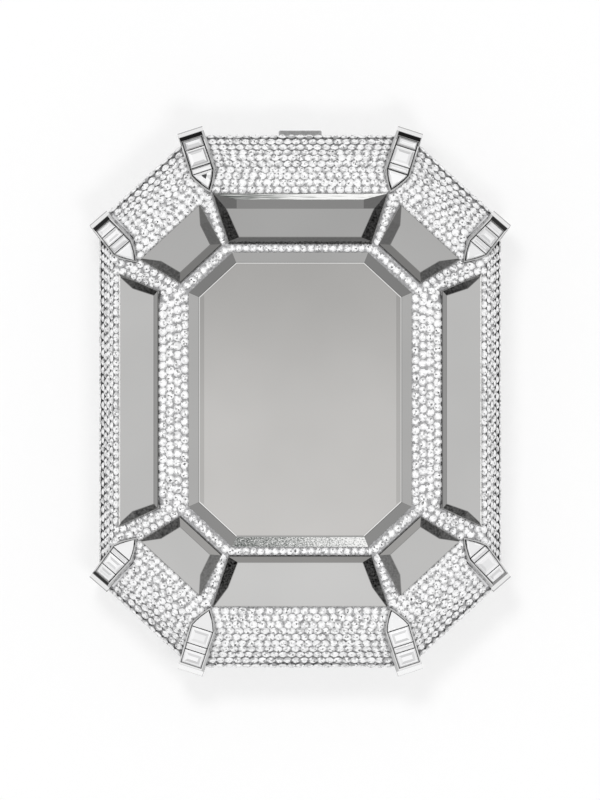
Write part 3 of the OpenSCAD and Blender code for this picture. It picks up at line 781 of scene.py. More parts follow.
# %% Build the sixteen claw channels
CHAMFER, WALL_TOP, BACK_H = 0.16, 0.46, 1.5
SEAT_GAP, LIP_RUN, LIP_RISE, LEAST_BEND = 0.05, 0.8, 0.2, 0.4
# Tones of the claw metal, face by face: mid grey walls and ledge as painted shade, a light rim as painted
# reflection, and the channel's inside painted almost black as shade.
WALL_TONE, LEDGE_TONE, RIM_TONE, CHANNEL_SHADE_TONE = 0.5, 0.6, 0.9, 0.01


def claw_channel(half, k):
    """Each row is (inset, end of the loop, drop from the back or a named height, lean, tone)."""
    length = claw_len(k)
    last, lean_in = STONE_SHARES[k][3] * length, claw_lean(k)
    rows = [(0, length + FOOT_OUT, "foot", 0.0, WALL_TONE),
            (0, length + LIP_RUN * FOOT_OUT, "lip", 0.0, WALL_TONE),
            (0, length, "bend", 0.0, WALL_TONE),
            (0.02, length - 0.02, CHAMFER, lean_in, WALL_TONE),
            (CHAMFER, length - CHAMFER, 0, lean_in, LEDGE_TONE),
            (WALL_TOP - CHAMFER, last + CHAMFER, 0, lean_in, RIM_TONE),
            (WALL_TOP, last, CHAMFER, lean_in, WALL_TONE),
            (WALL_TOP + SEAT_GAP, last, CHANNEL, lean_in, CHANNEL_SHADE_TONE)]
    points = []
    for d, end, drop, lean, tone in rows:
        for x, y in claw_loop(k, d, end, lean):
            px, py = claw_place(k, x, y)
            foot = FOOT_Z if x > length else max(FOOT_Z, form_height(px, py, STONE_T + SEAT_GAP))
            bend = max(claw_height(k, min(x, length)) - BACK_H, FOOT_Z + LEAST_BEND)
            heights = {"foot": foot, "lip": foot + LIP_RISE * (bend - foot), "bend": bend}
            z = heights[drop] if drop in heights else claw_height(k, x) - drop
            points.append(on_half(half, (px, py, z)))
    n = len(points) // len(rows)
    # The foot and the bar get their painted reflection and shade.
    at_end = (WHITE_FOOT_REFLECTION_TONES if k in (4, 5) else FOOT_REFLECTION_TONES) + (END_BAR_LIGHT_SHADE_TONES[k],)
    tones = [WALL_TONE]
    for level, row in enumerate(rows[1:]):
        for i in range(n):
            tone = row[4]
            if i in (8, 9) and level < len(at_end):
                tone = at_end[level]
            # Claws 1 and 8 also carry the bar's painted shade onto the ledge beside their end.
            elif k in (1, 8) and level == 4 and i in (7, 10):
                tone = END_BAR_LIGHT_SHADE_TONES[k]
            tones.append(tone)
    tones.append(CHANNEL_SHADE_TONE)
    piece = new_piece(f"{half}_claw_channel_{k}", points, stack_faces(n, len(rows)), [claw_metal], tones)
    return settle(piece, body_of_half(half), "polished_metal", f"{half}_claw_{k}")


channels = [claw_channel(half, k) for half in HALVES for k in range(1, 9)]
print("claw channels:", len(channels))

# %% Step-cut stones for the claws
# Painted sparkle of the claw stones: the darkest facet tone of each claw. A small dark field in one triangle
# stone is a painted reflection, and the girdle walls are painted almost black as shade.
DULLEST = {1: 0.25, 8: 0.2, 2: 0.5, 7: 0.5, 3: 0.75, 6: 0.75, 4: 0.88, 5: 0.88}
HEART_AT, HEART_SIZE, HEART_REFLECTION_TONE = 0.84, 0.28, 0.02
BAR_GAP, STONE_SINK, BESIDE_WALL, BESIDE_WIDE_WALL = 0.26, 0.25, 0.18, 0.3
STEP_SHARE, STEP_MOST, FOIL_TONE, GIRDLE_SHADE_TONE = 0.24, 0.8, 0.3, 0.04
FIELD_TONES = (0.98, 0.86, 0.8, 0.92)


def inset_loop(points, d):
    moved = []
    for a, b, c in zip(points[-1:] + points[:-1], points, points[1:] + points[:1]):
        a, b, c = Vector(a), Vector(b), Vector(c)
        m = Vector(((b - a).y, -(b - a).x)).normalized()
        k = Vector(((c - b).y, -(c - b).x)).normalized()
        moved.append(tuple(b - (m + k) * (d / (1 + m.dot(k)))))
    return moved


def step_cut(outline, top_at, rng, dullest, dark_field_reflection=None):
    """A step-cut stone on an outline: body, two crown steps, table and the bright field under it. The
    steps, table and field carry painted sparkle, and the girdle walls are painted dark as shade. The last
    argument is the tone of a small dark field far back in the stone, a painted reflection."""
    n = len(outline)
    step = min(STEP_MOST, STEP_SHARE * min(math.dist(p, q) for p, q in edges_of(outline)))
    levels = [(0.0, 1.0), (0.0, 0.42), (step * 0.5, 0.12), (step, 0.0), (step * 1.9, 0.0)]
    loops = [inset_loop(outline, d) if d else outline for d, drop in levels]
    if dark_field_reflection is not None:
        middle = HEART_AT * max(x for x, y in outline)
        loops[-1] = [(middle + HEART_SIZE * (x - middle), HEART_SIZE * y) for x, y in outline]
    points = [(x, y, top_at(x) - drop) for loop, (d, drop) in zip(loops, levels) for x, y in loop]
    tones = [FOIL_TONE]
    for level in range(len(levels) - 1):
        for _ in range(n):
            shades = (GIRDLE_SHADE_TONE, rng.uniform(dullest, 1.0), rng.uniform(dullest, 1.0), rng.uniform(0.6, 1.0))
            tones.append(shades[level])
    tones.append(dark_field_reflection if dark_field_reflection is not None else rng.choice(FIELD_TONES))
    return points, stack_faces(n, len(levels)), tones


def claw_stone_outlines(k):
    """The triangle and the three four-sided stones of claw k."""
    d, length = WALL_TOP + (BESIDE_WIDE_WALL if k in (1, 8) else BESIDE_WALL), claw_len(k)
    tip, stations = claw_stations(k, d, length)
    lean_in = claw_lean(k)
    ends = [share * length for share in STONE_SHARES[k]]
    low_at = [-claw_half_width(k, x, d) for x in ends]
    high_at = [-low - lean_in for low in low_at]
    curve = [(x, claw_half_width(k, x, d)) for x in stations[1:4] if x < ends[0]]
    first = [(tip, -lean_in / 4)] + [(x, -w) for x, w in curve]
    first += [(ends[0], low_at[0]), (ends[0], high_at[0])]
    first += [(x, w * high_at[0] / -low_at[0]) for x, w in reversed(curve)]
    rest = [[(ends[i] + BAR_GAP, low_at[i]), (ends[i + 1], low_at[i + 1]), (ends[i + 1], high_at[i + 1]),
             (ends[i] + BAR_GAP, high_at[i])] for i in range(3)]
    return [first] + rest


for half in HALVES:
    rng = random.Random(31)
    points, faces, tones = [], [], []
    for k in range(1, 9):
        for place, outline in enumerate(claw_stone_outlines(k)):
            x0, x1 = min(x for x, y in outline), max(x for x, y in outline)
            z0, z1 = claw_height(k, x0) - STONE_SINK, claw_height(k, x1) - STONE_SINK
            cut = step_cut(outline, lambda x: z0 + (z1 - z0) * (x - x0) / (x1 - x0), rng, DULLEST[k],
                           HEART_REFLECTION_TONE if place == 0 and k == 8 else None)
            faces += [tuple(len(points) + i for i in face) for face in cut[1]]
            points += [on_half(half, (*claw_place(k, x, y), z)) for x, y, z in cut[0]]
            tones += cut[2]
    piece = new_piece(f"{half}_claw_baguettes", points, faces, [crystal], tones)
    settle(piece, body_of_half(half), "crystal", f"{half}_claw_stones")
    print(piece.name, triangles(piece), "triangles")

# %% [markdown]
# ## Where the round stones go
#
# A setter lays pave stones in rows and shifts every second row by half a stone. Each row here starts
# as a line at a fixed height on one wall. The claws and the neighbouring walls cut it into free
# lengths, and every length is filled with whole stones that share out what is left over. On the
# rounded band the rows follow the section, and each stone faces the average of the folds round it.
# The rows near the girdle stand a third of a millimetre higher, which makes the outline bumpy.


# %% Free lengths of a line, and the stones that fill them
def inside(outline, x, y):
    hit = False
    for (x0, y0), (x1, y1) in edges_of(outline):
        if (y0 > y) != (y1 > y) and x < (x1 - x0) * (y - y0) / (y1 - y0) + x0:
            hit = not hit
    return hit


def claw_plan(k):
    end = claw_len(k) + FOOT_OUT
    corners = [(0, 0), (TIP_LEN, -HALF_W), (end, -HALF_W), (end, HALF_W), (TIP_LEN, HALF_W)]
    return [claw_place(k, x, y) for x, y in corners]


claw_plans = [claw_plan(k) for k in range(1, 9)]


def free_lengths(start, end, blocked):
    """Stretches of the line between two plan points that lie outside every blocked outline."""
    length = math.dist(start, end)
    steps = max(2, int(length / 0.1))
    runs, open_at = [], None
    for i in range(steps + 1):
        t = i / steps
        x, y = start[0] + (end[0] - start[0]) * t, start[1] + (end[1] - start[1]) * t
        if any(inside(outline, x, y) for outline in blocked):
            if open_at is not None:
                runs.append((open_at, (i - 1) / steps))
            open_at = None
        elif open_at is None:
            open_at = t
    if open_at is not None:
        runs.append((open_at, 1.0))
    return [(a * length, b * length) for a, b in runs]


def share_out(length, pitch, odd):
    """Places of whole stones along a length; long rows keep the odd or even count of their row."""
    count = int(round(length / pitch))
    if count >= 6 and count % 2 != odd:
        count += 1 if length / pitch > count else -1
    return [length / count * (i + 0.5) for i in range(count)] if count > 0 else []


# %% Rows on the band and the girdle of every wall
SS9, SS7 = 2.6, 2.18
CLASP_TOP, CLASP_HALF, CLASP_STONE = 2.95, 8.1, 0.95
LIFT, LIFT_FROM, LIFT_RUN = 0.35, 10.5, 4
ROW_STEP, ROW_MORE, ROW_START, ROW_STOP, ROW_SPAN = 2.14, 0.3, 0.49, 0.75, 0.98
SIDE_R, BAND_R = 0.475, 0.515


def arc_of(rings, lead):
    """The section as a chain of points by length, starting lead up the facet from the band."""
    section = wall_section(rings)
    (r0, z0), (r1, z1) = section[:2]
    t = 1 - lead / math.dist(*section[:2])
    return [(r0 + (r1 - r0) * t, z0 + (z1 - z0) * t)] + section[1:-1] + [(rings[0], RIM_H)]


def at_arc(chain, s):
    for (r0, z0), (r1, z1) in zip(chain, chain[1:]):
        step = math.dist((r0, z0), (r1, z1))
        if s <= step or (r1, z1) == chain[-1]:
            t = s / step
            return r0 + (r1 - r0) * t, z0 + (z1 - z0) * t, math.atan2(r1 - r0, z0 - z1)
        s -= step


def smooth_facing(chain, s, total):
    around = [at_arc(chain, min(max(s + step, 0.01), total - 0.01))[2] for step in (-1.2, -0.6, 0, 0.6, 1.2)]
    return sum(around) / len(around)


def row_places(chain, total):
    """Rows lie a little closer on the flat shoulder than on the steep part, and fill the section."""
    places = [SS9 * ROW_START]
    while places[-1] < total - SS9 * ROW_STOP:
        more = ROW_MORE * math.cos(smooth_facing(chain, places[-1], total))
        places.append(places[-1] + ROW_STEP + more)
    scale = (total - SS9 * ROW_SPAN) / (places[-1] - places[0])
    return [places[0] + (s - places[0]) * scale for s in places]


band_stones, girdle_stones, crown_stones = [], [], []
for i, (rings, angle) in enumerate(WALLS):
    chain = arc_of(rings, CORNER_OUT * corner_slope if rings is CUT else 0.3)
    total = sum(math.dist(p, q) for p, q in zip(chain, chain[1:]))
    for row, s in enumerate(row_places(chain, total)):
        r, z, _ = at_arc(chain, s)
        steep = smooth_facing(chain, s, total)
        out, up = math.cos(steep), math.sin(steep)
        u0, u1 = wall_span(i, r, lambda other: reach_at(other, z))
        lift = LIFT * min(1.0, max(0.0, (LIFT_FROM - z) / LIFT_RUN))
        blocked = claw_plans if z > FOOT_Z - SS9 / 2 else []
        for a, b in free_lengths(wall_point(angle, r, u0), wall_point(angle, r, u1), blocked):
            for u in share_out(b - a, SS9, row % 2):
                x, y = wall_point(angle, r + out * lift, u0 + a + u)
                over_clasp = y > END[0] - 2 and abs(x) < CLASP_HALF and z < CLASP_TOP + SS9 / 2
                radius = CLASP_STONE if over_clasp else SS9 * (SIDE_R if rings is SIDE else BAND_R)
                target = band_stones if z > GIRDLE_H else girdle_stones
                target.append(((x, y, max(z, CLASP_TOP + radius) if over_clasp else z),
                               (math.cos(angle) * out, math.sin(angle) * out, up), radius))
print("band stones:", len(band_stones), "girdle stones:", len(girdle_stones))

# %% Rows on the flat strips round the table: how many, their pitch and the stones' radius
STRIPS = {id(SIDE): (4, 2.62, 1.32), id(END): (1, SS7, 1.2), id(CUT): (1, 2.42, 1.26)}
for i, (rings, angle) in enumerate(WALLS):
    count, pitch, radius = STRIPS[id(rings)]
    for row in range(count):
        def reach(other):
            return other[3] + (other[2] - other[3]) * (row + 0.5) / count
        u0, u1 = wall_span(i, reach(rings), reach)
        for u in share_out(u1 - u0, pitch, row % 2):
            crown_stones.append(((*wall_point(angle, reach(rings), u0 + u), CROWN_Z), (0, 0, 1), radius))
print("flat strip stones:", len(crown_stones))

# %% Rows on the sloped strips beside the corner mirrors
LOW_ROW, LOW_PITCH, HIGH_PITCH = 2.4, 2.45, 2.42
LOW_R, HIGH_R, SECOND_R = 1.25, 1.3, 1.0
LOW_END, HIGH_END, LOW_ROOM, SIDE_ROOM = 1.2, 0.4, 0.6, 1.15
HIGH_BACK, HIGH_LEAN, SECOND_ROOM, SECOND_IN = 0.05, 0.5, 2.6, 0.85


def end_of_side_mirror(x):
    """How far the side mirror reaches along its wall, at x of the plan."""
    (near, low), (far, high) = PLATES["side"][0][1:3]
    return near + (far - near) * ((x - SIDE[2]) * slope_share(SIDE) - low) / (high - low)


def corner_rows():
    """Stones of one corner facet as (u, v, radius, lean towards the end wall), in its frame."""
    span = corner_w * corner_slope
    line = math.hypot(out_low - in_low, span)
    placed = []
    for j in range(4):
        for s in share_out(line - LOW_END, LOW_PITCH, j % 2):
            share = s / line
            off = CORNER_LOW + (BAND_LOW - CORNER_LOW) * share - LOW_R - LOW_ROW * j
            u, v = in_low + off + (out_low - in_low) * share, span * share
            p = in_frame(PLATES["corner"][1], u, v)
            if off > LOW_ROOM and p.y > end_of_side_mirror(p.x) + SIDE_ROOM:
                placed.append((u, v, LOW_R, 0))
    line = math.hypot(out_high - in_high, span)
    for s in share_out(line - HIGH_END, HIGH_PITCH, 0):
        share = s / line
        u = in_high + (out_high - in_high) * share
        placed.append((u - HIGH_BACK, span * share, HIGH_R, HIGH_LEAN))
        if CORNER_TIP + (CORNER_HIGH - CORNER_TIP) * share > SECOND_ROOM:
            share -= SS7 / 2 / line
            u = in_high + (out_high - in_high) * share
            room = CORNER_TIP + (CORNER_HIGH - CORNER_TIP) * share
            placed.append((u - room + SECOND_IN, span * share, SECOND_R, 0))
    return placed


def in_quarters(placed):
    """The same stones in all four quarters of the crown."""
    return [((x * flip_x, y * flip_y, z), (nx * flip_x, ny * flip_y, nz), radius)
            for flip_x in (1, -1) for flip_y in (1, -1) for (x, y, z), (nx, ny, nz), radius in placed]


corner_place, end_up = PLATES["corner"][1], PLATES["end"][1][3]
crown_stones += in_quarters([
    (in_frame(corner_place, u, v), corner_place[3].lerp(end_up, lean).normalized(), radius)
    for u, v, radius, lean in corner_rows()])
print("crown stones with the sloped strips:", len(crown_stones))

# %% [markdown]
# The rows leave bare wedges where they run at a slant into a mirror. A setter closes those last, with
# the largest stones that still go in. The search below does the same: it walks over a quarter of the
# crown in small steps and drops a stone wherever nothing is in its way.

# %% Fill the bare wedges between the rows and the mirrors
GRID, GRID_FROM, GRID_COUNT = 0.25, (33, 25), (90, 115)
NEARBY, OVER_BAND = (20, 15), 0.2
FILLER_SIZES, TOUCH, SEAT_ROOM = (1.2, 1.0, 0.85, 0.7), 0.9, 0.85


def crown_place(x, y):
    """Height and facing of the crown over a point of its plan."""
    falls = [((x * math.cos(angle) + y * math.sin(angle) - rings[2]) / (rings[1] - rings[2]), rings, angle)
             for rings, angle in WALLS]
    fall, rings, angle = max(falls, key=lambda item: item[0])
    if fall <= 0:
        return CROWN_Z, (0, 0, 1)
    return CROWN_Z - (CROWN_Z - BAND_Z) * fall, tuple(facet_frame(rings, angle)[3])


def clear_of(outlines, x, y, room):
    """Whether a plan point lies outside every outline, with room to spare."""
    spot = Vector((x, y))
    for outline in outlines:
        if inside(outline, x, y):
            return False
        for a, b in edges_of(outline):
            a, along = Vector(a), Vector((b[0] - a[0], b[1] - a[1]))
            t = max(0.0, min(1.0, (spot - a).dot(along) / along.length_squared))
            if (spot - a - along * t).length < room:
                return False
    return True


plate_plans = [[tuple(in_frame(place, u, v).xy) for u, v in outline] for outline, place in PLATES.values()]
taken = [(Vector(spot), size) for spot, _, size in crown_stones + band_stones
         if spot[0] > NEARBY[0] and spot[1] > NEARBY[1]]
fillers = []
for radius in FILLER_SIZES:
    for i in range(GRID_COUNT[0]):
        for j in range(GRID_COUNT[1]):
            x, y = GRID_FROM[0] + GRID * i, GRID_FROM[1] + GRID * j
            z, facing = crown_place(x, y)
            spot = Vector((x, y, z))
            if (z >= BAND_Z + OVER_BAND and clear_of(plate_plans, x, y, SEAT_ROOM * radius)
                    and clear_of(claw_plans[:2], x, y, radius)
                    and all((spot - other).length > TOUCH * (radius + size) for other, size in taken)):
                taken.append((spot, radius))
                fillers.append((spot, facing, radius))
crown_stones += in_quarters(fillers)
print("filled", len(fillers), "bare spots in each quarter; crown stones:", len(crown_stones))

# %% [markdown]
# ## Setting the stones
#
# A round stone is a table, eight crown facets and a short pavilion that narrows into its seat. The
# foiled pavilion would show through the table as light and dark wedges, so the table is cut into
# eight, and the wedges' tones are painted reflections. That shape repeats thousands of times, so
# Geometry Nodes make it: the tree builds one stone, puts it on every point, turns its table to the
# point's facing, and gives each a small lean and spin of its own. After the copies are real faces,
# every facet gets its own tone, most of them bright and a few dark, which paints the sparkle. The
# seat is painted darker as shade, most on the side walls.


# %% What the trees that set things on points have in common
def new_tree(name, inputs, output):
    """An empty tree with named inputs, and its input node."""
    tree = bpy.data.node_groups.new(name, "GeometryNodeTree")
    face = tree.interface
    face.new_socket("Points", in_out="INPUT", socket_type="NodeSocketGeometry")
    for label, value in inputs.items():
        kind = "NodeSocketInt" if isinstance(value, int) else "NodeSocketFloat"
        face.new_socket(label, in_out="INPUT", socket_type=kind).default_value = value
    face.new_socket("Material", in_out="INPUT", socket_type="NodeSocketMaterial")
    face.new_socket(output, in_out="OUTPUT", socket_type="NodeSocketGeometry")
    return tree, add_node(tree, "NodeGroupInput")


def named(tree, name, kind="FLOAT"):
    return add_node(tree, "GeometryNodeInputNamedAttribute", {"Name": name}, data_type=kind), "Attribute"


def stored(tree, name, geometry, value):
    """The geometry with a value kept on its faces under a name."""
    sockets = {"Geometry": geometry, "Name": name, "Value": value}
    return add_node(tree, "GeometryNodeStoreNamedAttribute", sockets, data_type="FLOAT",
                    domain="FACE"), "Geometry"


def vector_of(tree, x=0.0, y=0.0, z=0.0):
    return add_node(tree, "ShaderNodeCombineXYZ", {"X": x, "Y": y, "Z": z}), "Vector"


def shifted(tree, geometry, **sockets):
    return add_node(tree, "GeometryNodeTransform", {"Geometry": geometry, **sockets}), "Geometry"


def joined(tree, first, second):
    both = add_node(tree, "GeometryNodeJoinGeometry", {"Geometry": first})
    return wire(tree, both, {"Geometry": second}), "Geometry"


def random_of(tree, start, limits, kind="FLOAT"):
    return add_node(tree, "FunctionNodeRandomValue", {**limits, "Seed": (start, "Seed")}, data_type=kind)


def cone(tree, sides, top, bottom, depth, fill):
    sockets = {"Vertices": sides, "Radius Top": top, "Radius Bottom": bottom, "Depth": depth}
    return add_node(tree, "GeometryNodeMeshCone", sockets, fill_type=fill)


def turned_to_facing(tree, start, low, high):
    """From Z to the point's facing, after a random turn of its own between low and high."""
    facing = named(tree, "facing", "FLOAT_VECTOR")
    turn = add_node(tree, "FunctionNodeAlignRotationToVector", {"Vector": facing}, axis="Z")
    spin = random_of(tree, start, {0: low, 1: high}, "FLOAT_VECTOR")
    own = add_node(tree, "FunctionNodeEulerToRotation", {0: (spin, 0)})
    both = {"Rotation": (turn, "Rotation"), "Rotate By": (own, "Rotation")}
    return add_node(tree, "FunctionNodeRotateRotation", both, rotation_space="LOCAL"), "Rotation"


def set_on_points(tree, start, instance, **sockets):
    """Real copies of the instance on every point."""
    sockets.update({"Points": (start, "Points"), "Instance": instance})
    copies = add_node(tree, "GeometryNodeInstanceOnPoints", sockets)
    return add_node(tree, "GeometryNodeRealizeInstances", {"Geometry": (copies, "Instances")}), "Geometry"


def end_tree(tree, start, geometry, output):
    dress = add_node(tree, "GeometryNodeSetMaterial", {"Geometry": geometry, "Material": (start, "Material")})
    add_node(tree, "NodeGroupOutput", {output: (dress, "Geometry")})
    return tree


# %% The node tree that sets stones on points
SEAT_WAIST = 0.62


def stone_setter():
    tree, start = new_tree("stone_setter", {
        "Sides": 8, "Table Share": 0.6, "Crown Height": 0.0004, "Seat Depth": 0.0008, "Lean": 0.07,
        "Darkest Facet": 0.34, "Darkest Table": 0.0, "Facet Rarity": 2.0, "Table Rarity": 6.0,
        "Seed": 5}, "Stones")
    sides, height, depth, lean = [(start, name) for name in ("Sides", "Crown Height", "Seat Depth", "Lean")]
    crown = cone(tree, sides, (start, "Table Share"), 1.0, 1.0, "TRIANGLE_FAN")
    seat = cone(tree, sides, 1.0, SEAT_WAIST, 1.0, "NONE")
    down = add_math(tree, "MULTIPLY", height, -1.0)
    crown_at = shifted(tree, stored(tree, "table", (crown, "Mesh"), (crown, "Top")),
                       Scale=vector_of(tree, 1.0, 1.0, height), Translation=vector_of(tree, z=down))
    seat_at = shifted(tree, (seat, "Mesh"), Scale=vector_of(tree, 1.0, 1.0, depth),
                      Translation=vector_of(tree, z=add_math(tree, "SUBTRACT", down, depth)))
    stone = joined(tree, crown_at, stored(tree, "seat", seat_at, 1.0))
    minus, size = add_math(tree, "MULTIPLY", lean, -1.0), named(tree, "radius")
    turn = turned_to_facing(tree, start, vector_of(tree, minus, minus), vector_of(tree, lean, lean, math.pi))
    real = set_on_points(tree, start, stone, Rotation=turn, Scale=vector_of(tree, size, size, 1.0))
    # Painted sparkle: each facet and table wedge gets a tone, mostly bright, a few dark as painted
    # reflections.
    chance = (random_of(tree, start, {}), 1)
    tones = []
    for part in ("Facet", "Table"):
        rare = add_math(tree, "POWER", chance, (start, part + " Rarity"))
        loss = add_math(tree, "SUBTRACT", (start, "Darkest " + part), 1.0)
        tones.append(add_math(tree, "MULTIPLY_ADD", rare, loss, 1.0))
    either = {"Switch": named(tree, "table"), "False": tones[0], "True": tones[1]}
    bright = add_node(tree, "GeometryNodeSwitch", either, input_type="FLOAT")
    # Painted shade on the seat, as strong as the point's depth value.
    seat_painted_shade = add_math(tree, "MULTIPLY", named(tree, "seat"), named(tree, "depth"))
    above = add_math(tree, "SUBTRACT", 1.0, seat_painted_shade)
    final = add_math(tree, "MULTIPLY", (bright, "Output"), above, use_clamp=True)
    return end_tree(tree, start, stored(tree, "tone", real, final), "Stones")


setter = stone_setter()
print("tree:", setter.name, len(setter.nodes), "nodes")

# %% Run a tree on a set of points and keep the plain mesh
# How strongly each stone's seat is painted dark as shade: most on the side walls.
SIDE_SEAT_PAINTED_SHADE, SEAT_PAINTED_SHADE = 0.97, 0.55


def on_side_wall(n):
    return abs(n[0]) > 0.4 and abs(n[1]) < 0.05


def points_object(name, placed, half):
    mesh = bpy.data.meshes.new(name)
    mesh.from_pydata([tuple(on_half(half, p)) for p, facing, radius in placed], [], [])

    def keep(label, kind, field, values):
        mesh.attributes.new(label, kind, "POINT").data.foreach_set(field, values)

    keep("facing", "FLOAT_VECTOR", "vector", [c for p, n, r in placed for c in facing_on_half(half, n)])
    keep("radius", "FLOAT", "value", [r * MM for p, n, r in placed])
    keep("depth", "FLOAT", "value", [SIDE_SEAT_PAINTED_SHADE if on_side_wall(n) else SEAT_PAINTED_SHADE for p, n, r in placed])
    return link_object(name, mesh)


def grown(source, tree, name, values):
    """The tree's result on the source as a new plain mesh object; the source is removed."""
    modifier = source.modifiers.new("grow", "NODES")
    modifier.node_group = tree
    sockets = {item.name: item.identifier for item in tree.interface.items_tree
               if item.item_type == "SOCKET" and item.in_out == "INPUT"}
    for key, value in values.items():
        modifier[sockets[key]] = value
    bpy.context.view_layer.update()
    graph = bpy.context.evaluated_depsgraph_get()
    mesh = bpy.data.meshes.new_from_object(source.evaluated_get(graph))
    source.modifiers.clear()
    bpy.data.objects.remove(source)
    mesh.name = name
    return link_object(name, mesh)


# %% [markdown]
# ## The bed under the stones
#
# Between the stones the metal mesh that holds them shows a little lower down. The model's stone layer
# has the right outline, with its cut-outs for the mirrors and claws, so a copy of it is lowered: each
# point on the outer form moves in by the same depth from every surface that it lies on.

# %% Surfaces of the outer form
BED_DROP, ON_SURFACE, ROUNDS, WELD = 0.72, 0.004, 60, 0.000002


def form_planes():
    planes = [(Vector((0, 0, 1)), CROWN_Z)]
    for rings, angle in WALLS:
        section = wall_section(rings)
        for (r0, z0), (r1, z1) in zip(section, section[1:]):
            length = math.dist((r0, z0), (r1, z1))
            out, up = (z0 - z1) / length, (r1 - r0) / length
            planes.append((Vector((math.cos(angle) * out, math.sin(angle) * out, up)), r0 * out + z0 * up))
    return planes


PLANES = form_planes()


def lowered(p, drop):
    """A point of the outer form, moved in by drop from each surface that it lies on."""
    on = [n for n, c in PLANES if abs(n.dot(p) - c) < ON_SURFACE]
    move = Vector((0, 0, 0))
    for _ in range(ROUNDS):
        for n in on:
            move -= n * (n.dot(move) + drop)
    return p + move


def merged_copy(node):
    shape = bmesh.new()
    shape.from_mesh(nodes[node].data)
    bmesh.ops.remove_doubles(shape, verts=shape.verts, dist=WELD)
    return shape


def stone_bed(name, node, half):
    shape = merged_copy(node)
    sign = 1 if half == "front" else -1
    for vertex in shape.verts:
        p = Vector((vertex.co.x / MM, vertex.co.y / MM, (vertex.co.z / MM - PARTING) * sign))
        vertex.co = on_half(half, lowered(p, BED_DROP))
    return piece_from(shape, name, [bed_metal])


# %% Set every layer of stones on its bed
LAYERS = (("crown", crown_stones, 3), ("band", band_stones, 5), ("girdle", girdle_stones, 7))
for half in HALVES:
    for layer, placed, seed in LAYERS:
        source = points_object("stone_places", placed, half)
        stones = grown(source, setter, f"{half}_{layer}_stones", {"Seed": seed, "Material": crystal})
        settle(stones, body_of_half(half), "crystal", f"{half}_{layer}_pave")
        bed = stone_bed(f"{half}_{layer}_bed", f"{half}_{layer}_pave", half)
        settle(bed, body_of_half(half), "polished_metal")
        print(stones.name, len(placed), "stones", triangles(stones), "triangles")

# %% [markdown]
# ## The metal parts that open and shut
#
# The push plate, the latch and the hinge leaves are cut from sheet and bar, so their edges are
# broken by a file or a tumbler. A copy of each solid gets its flat faces joined again, and then its
# sharp edges rounded, which makes them catch the light as filed metal does.


# %% A copy of a solid with its sharp edges rounded
def finish_copy(node, name, width, material, body, slot, sharp_from=30.0, segments=2):
    shape = merged_copy(node)
    bmesh.ops.dissolve_limit(shape, angle_limit=math.radians(1), verts=shape.verts, edges=shape.edges)
    sharp = [edge for edge in shape.edges
             if len(edge.link_faces) == 2 and edge.calc_face_angle() > math.radians(sharp_from)]
    bmesh.ops.bevel(shape, geom=sharp, offset=width * MM, offset_type="OFFSET", segments=segments,
                    profile=0.5, affect="EDGES", clamp_overlap=True)
    piece = piece_from(shape, name, [material])
    smooth_under(piece, 32)
    return settle(piece, body, slot, node)


SHEET_PARTS = (("latch_slide", "latch_tongue", 0.12, "clasp"),
               ("latch_housing", "latch_box", 0.12, "rear_half"),
               ("keeper", "latch_keeper", 0.12, "front_half"),
               ("front_hinge_leaf", "front_leaf", 0.14, "front_half"),
               ("rear_hinge_leaf", "rear_leaf", 0.14, "rear_half"))
filed = [finish_copy("clasp_plate", "push_plate", 0.55, clasp_metal, "clasp", "polished_metal", segments=3)]
for node, name, width, body in SHEET_PARTS:
    filed.append(finish_copy(node, name, width, plated, body, "plated_brass"))
print("filed parts:", [piece.name for piece in filed])

# %% [markdown]
# ## Hinge pin, latch spring and screws
#
# The pin is cut from rod and domed at both ends so that it can't snag. The latch spring is wound wire
# with its last turns closed. Both are swept shapes, so rings of points along a line make them.

# %% Sweep rings of points into a closed tube
HINGE_HALF = end_corner(END[0] - INNER_D, CUT[0] - INNER_D)[0] - 0.6
HINGE_Y, PIN_SIDES = -78.9, 24


def swept(name, rings, material):
    points = [Vector(p) * MM for ring in rings for p in ring]
    piece = new_piece(name, points, stack_faces(len(rings[0]), len(rings)), [material])
    smooth_under(piece, 40)
    return piece


def round_ring(x, radius):
    turns = [2 * math.pi / PIN_SIDES * i for i in range(PIN_SIDES)]
    return [(x, HINGE_Y + radius * math.cos(a), PARTING + radius * math.sin(a)) for a in turns]


dome = [(-HINGE_HALF + x, radius) for x, radius in ((0, 0.3), (0.1, 0.52), (0.28, 0.68), (0.5, 0.74))]
stations = dome + [(0, dome[-1][1])] + [(-x, radius) for x, radius in reversed(dome)]
pin = swept("domed_hinge_pin", [round_ring(x, radius) for x, radius in stations], steel)
settle(pin, "rear_half", "spring_steel", "hinge_pin")
print(pin.name, "length", round(2 * HINGE_HALF, 1))

# %% The latch spring
SPRING_FROM, SPRING_TO, SPRING_Z = 71.0, 74.0, 20.65
COIL, WIRE, TURNS = 0.95, 0.22, 5
STEPS, WIRE_SIDES, CLOSED_SHARE = 16 * TURNS, 8, 0.35


def spring_ring(t):
    wound = 0.5 - 0.5 * math.cos(math.pi * t)
    share = CLOSED_SHARE * wound + (1 - CLOSED_SHARE) * t
    y = SPRING_FROM + WIRE + (SPRING_TO - SPRING_FROM - 2 * WIRE) * share
    a = 2 * math.pi * TURNS * t
    ring = []
    for j in range(WIRE_SIDES):
        b = 2 * math.pi / WIRE_SIDES * j
        out = COIL + WIRE * math.cos(b)
        ring.append((math.cos(a) * out, y + WIRE * math.sin(b), SPRING_Z + math.sin(a) * out))
    return ring


spring = swept("latch_coil", [spring_ring(i / STEPS) for i in range(STEPS + 1)], steel)
settle(spring, "rear_half", "spring_steel", "latch_spring")
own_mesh(spring)
print(spring.name, triangles(spring), "triangles")

# %% The node tree that sets slotted screws
HEAD_TAPER, SLOT_LEN, SHANK_SINK = 0.78, 3.0, -0.49


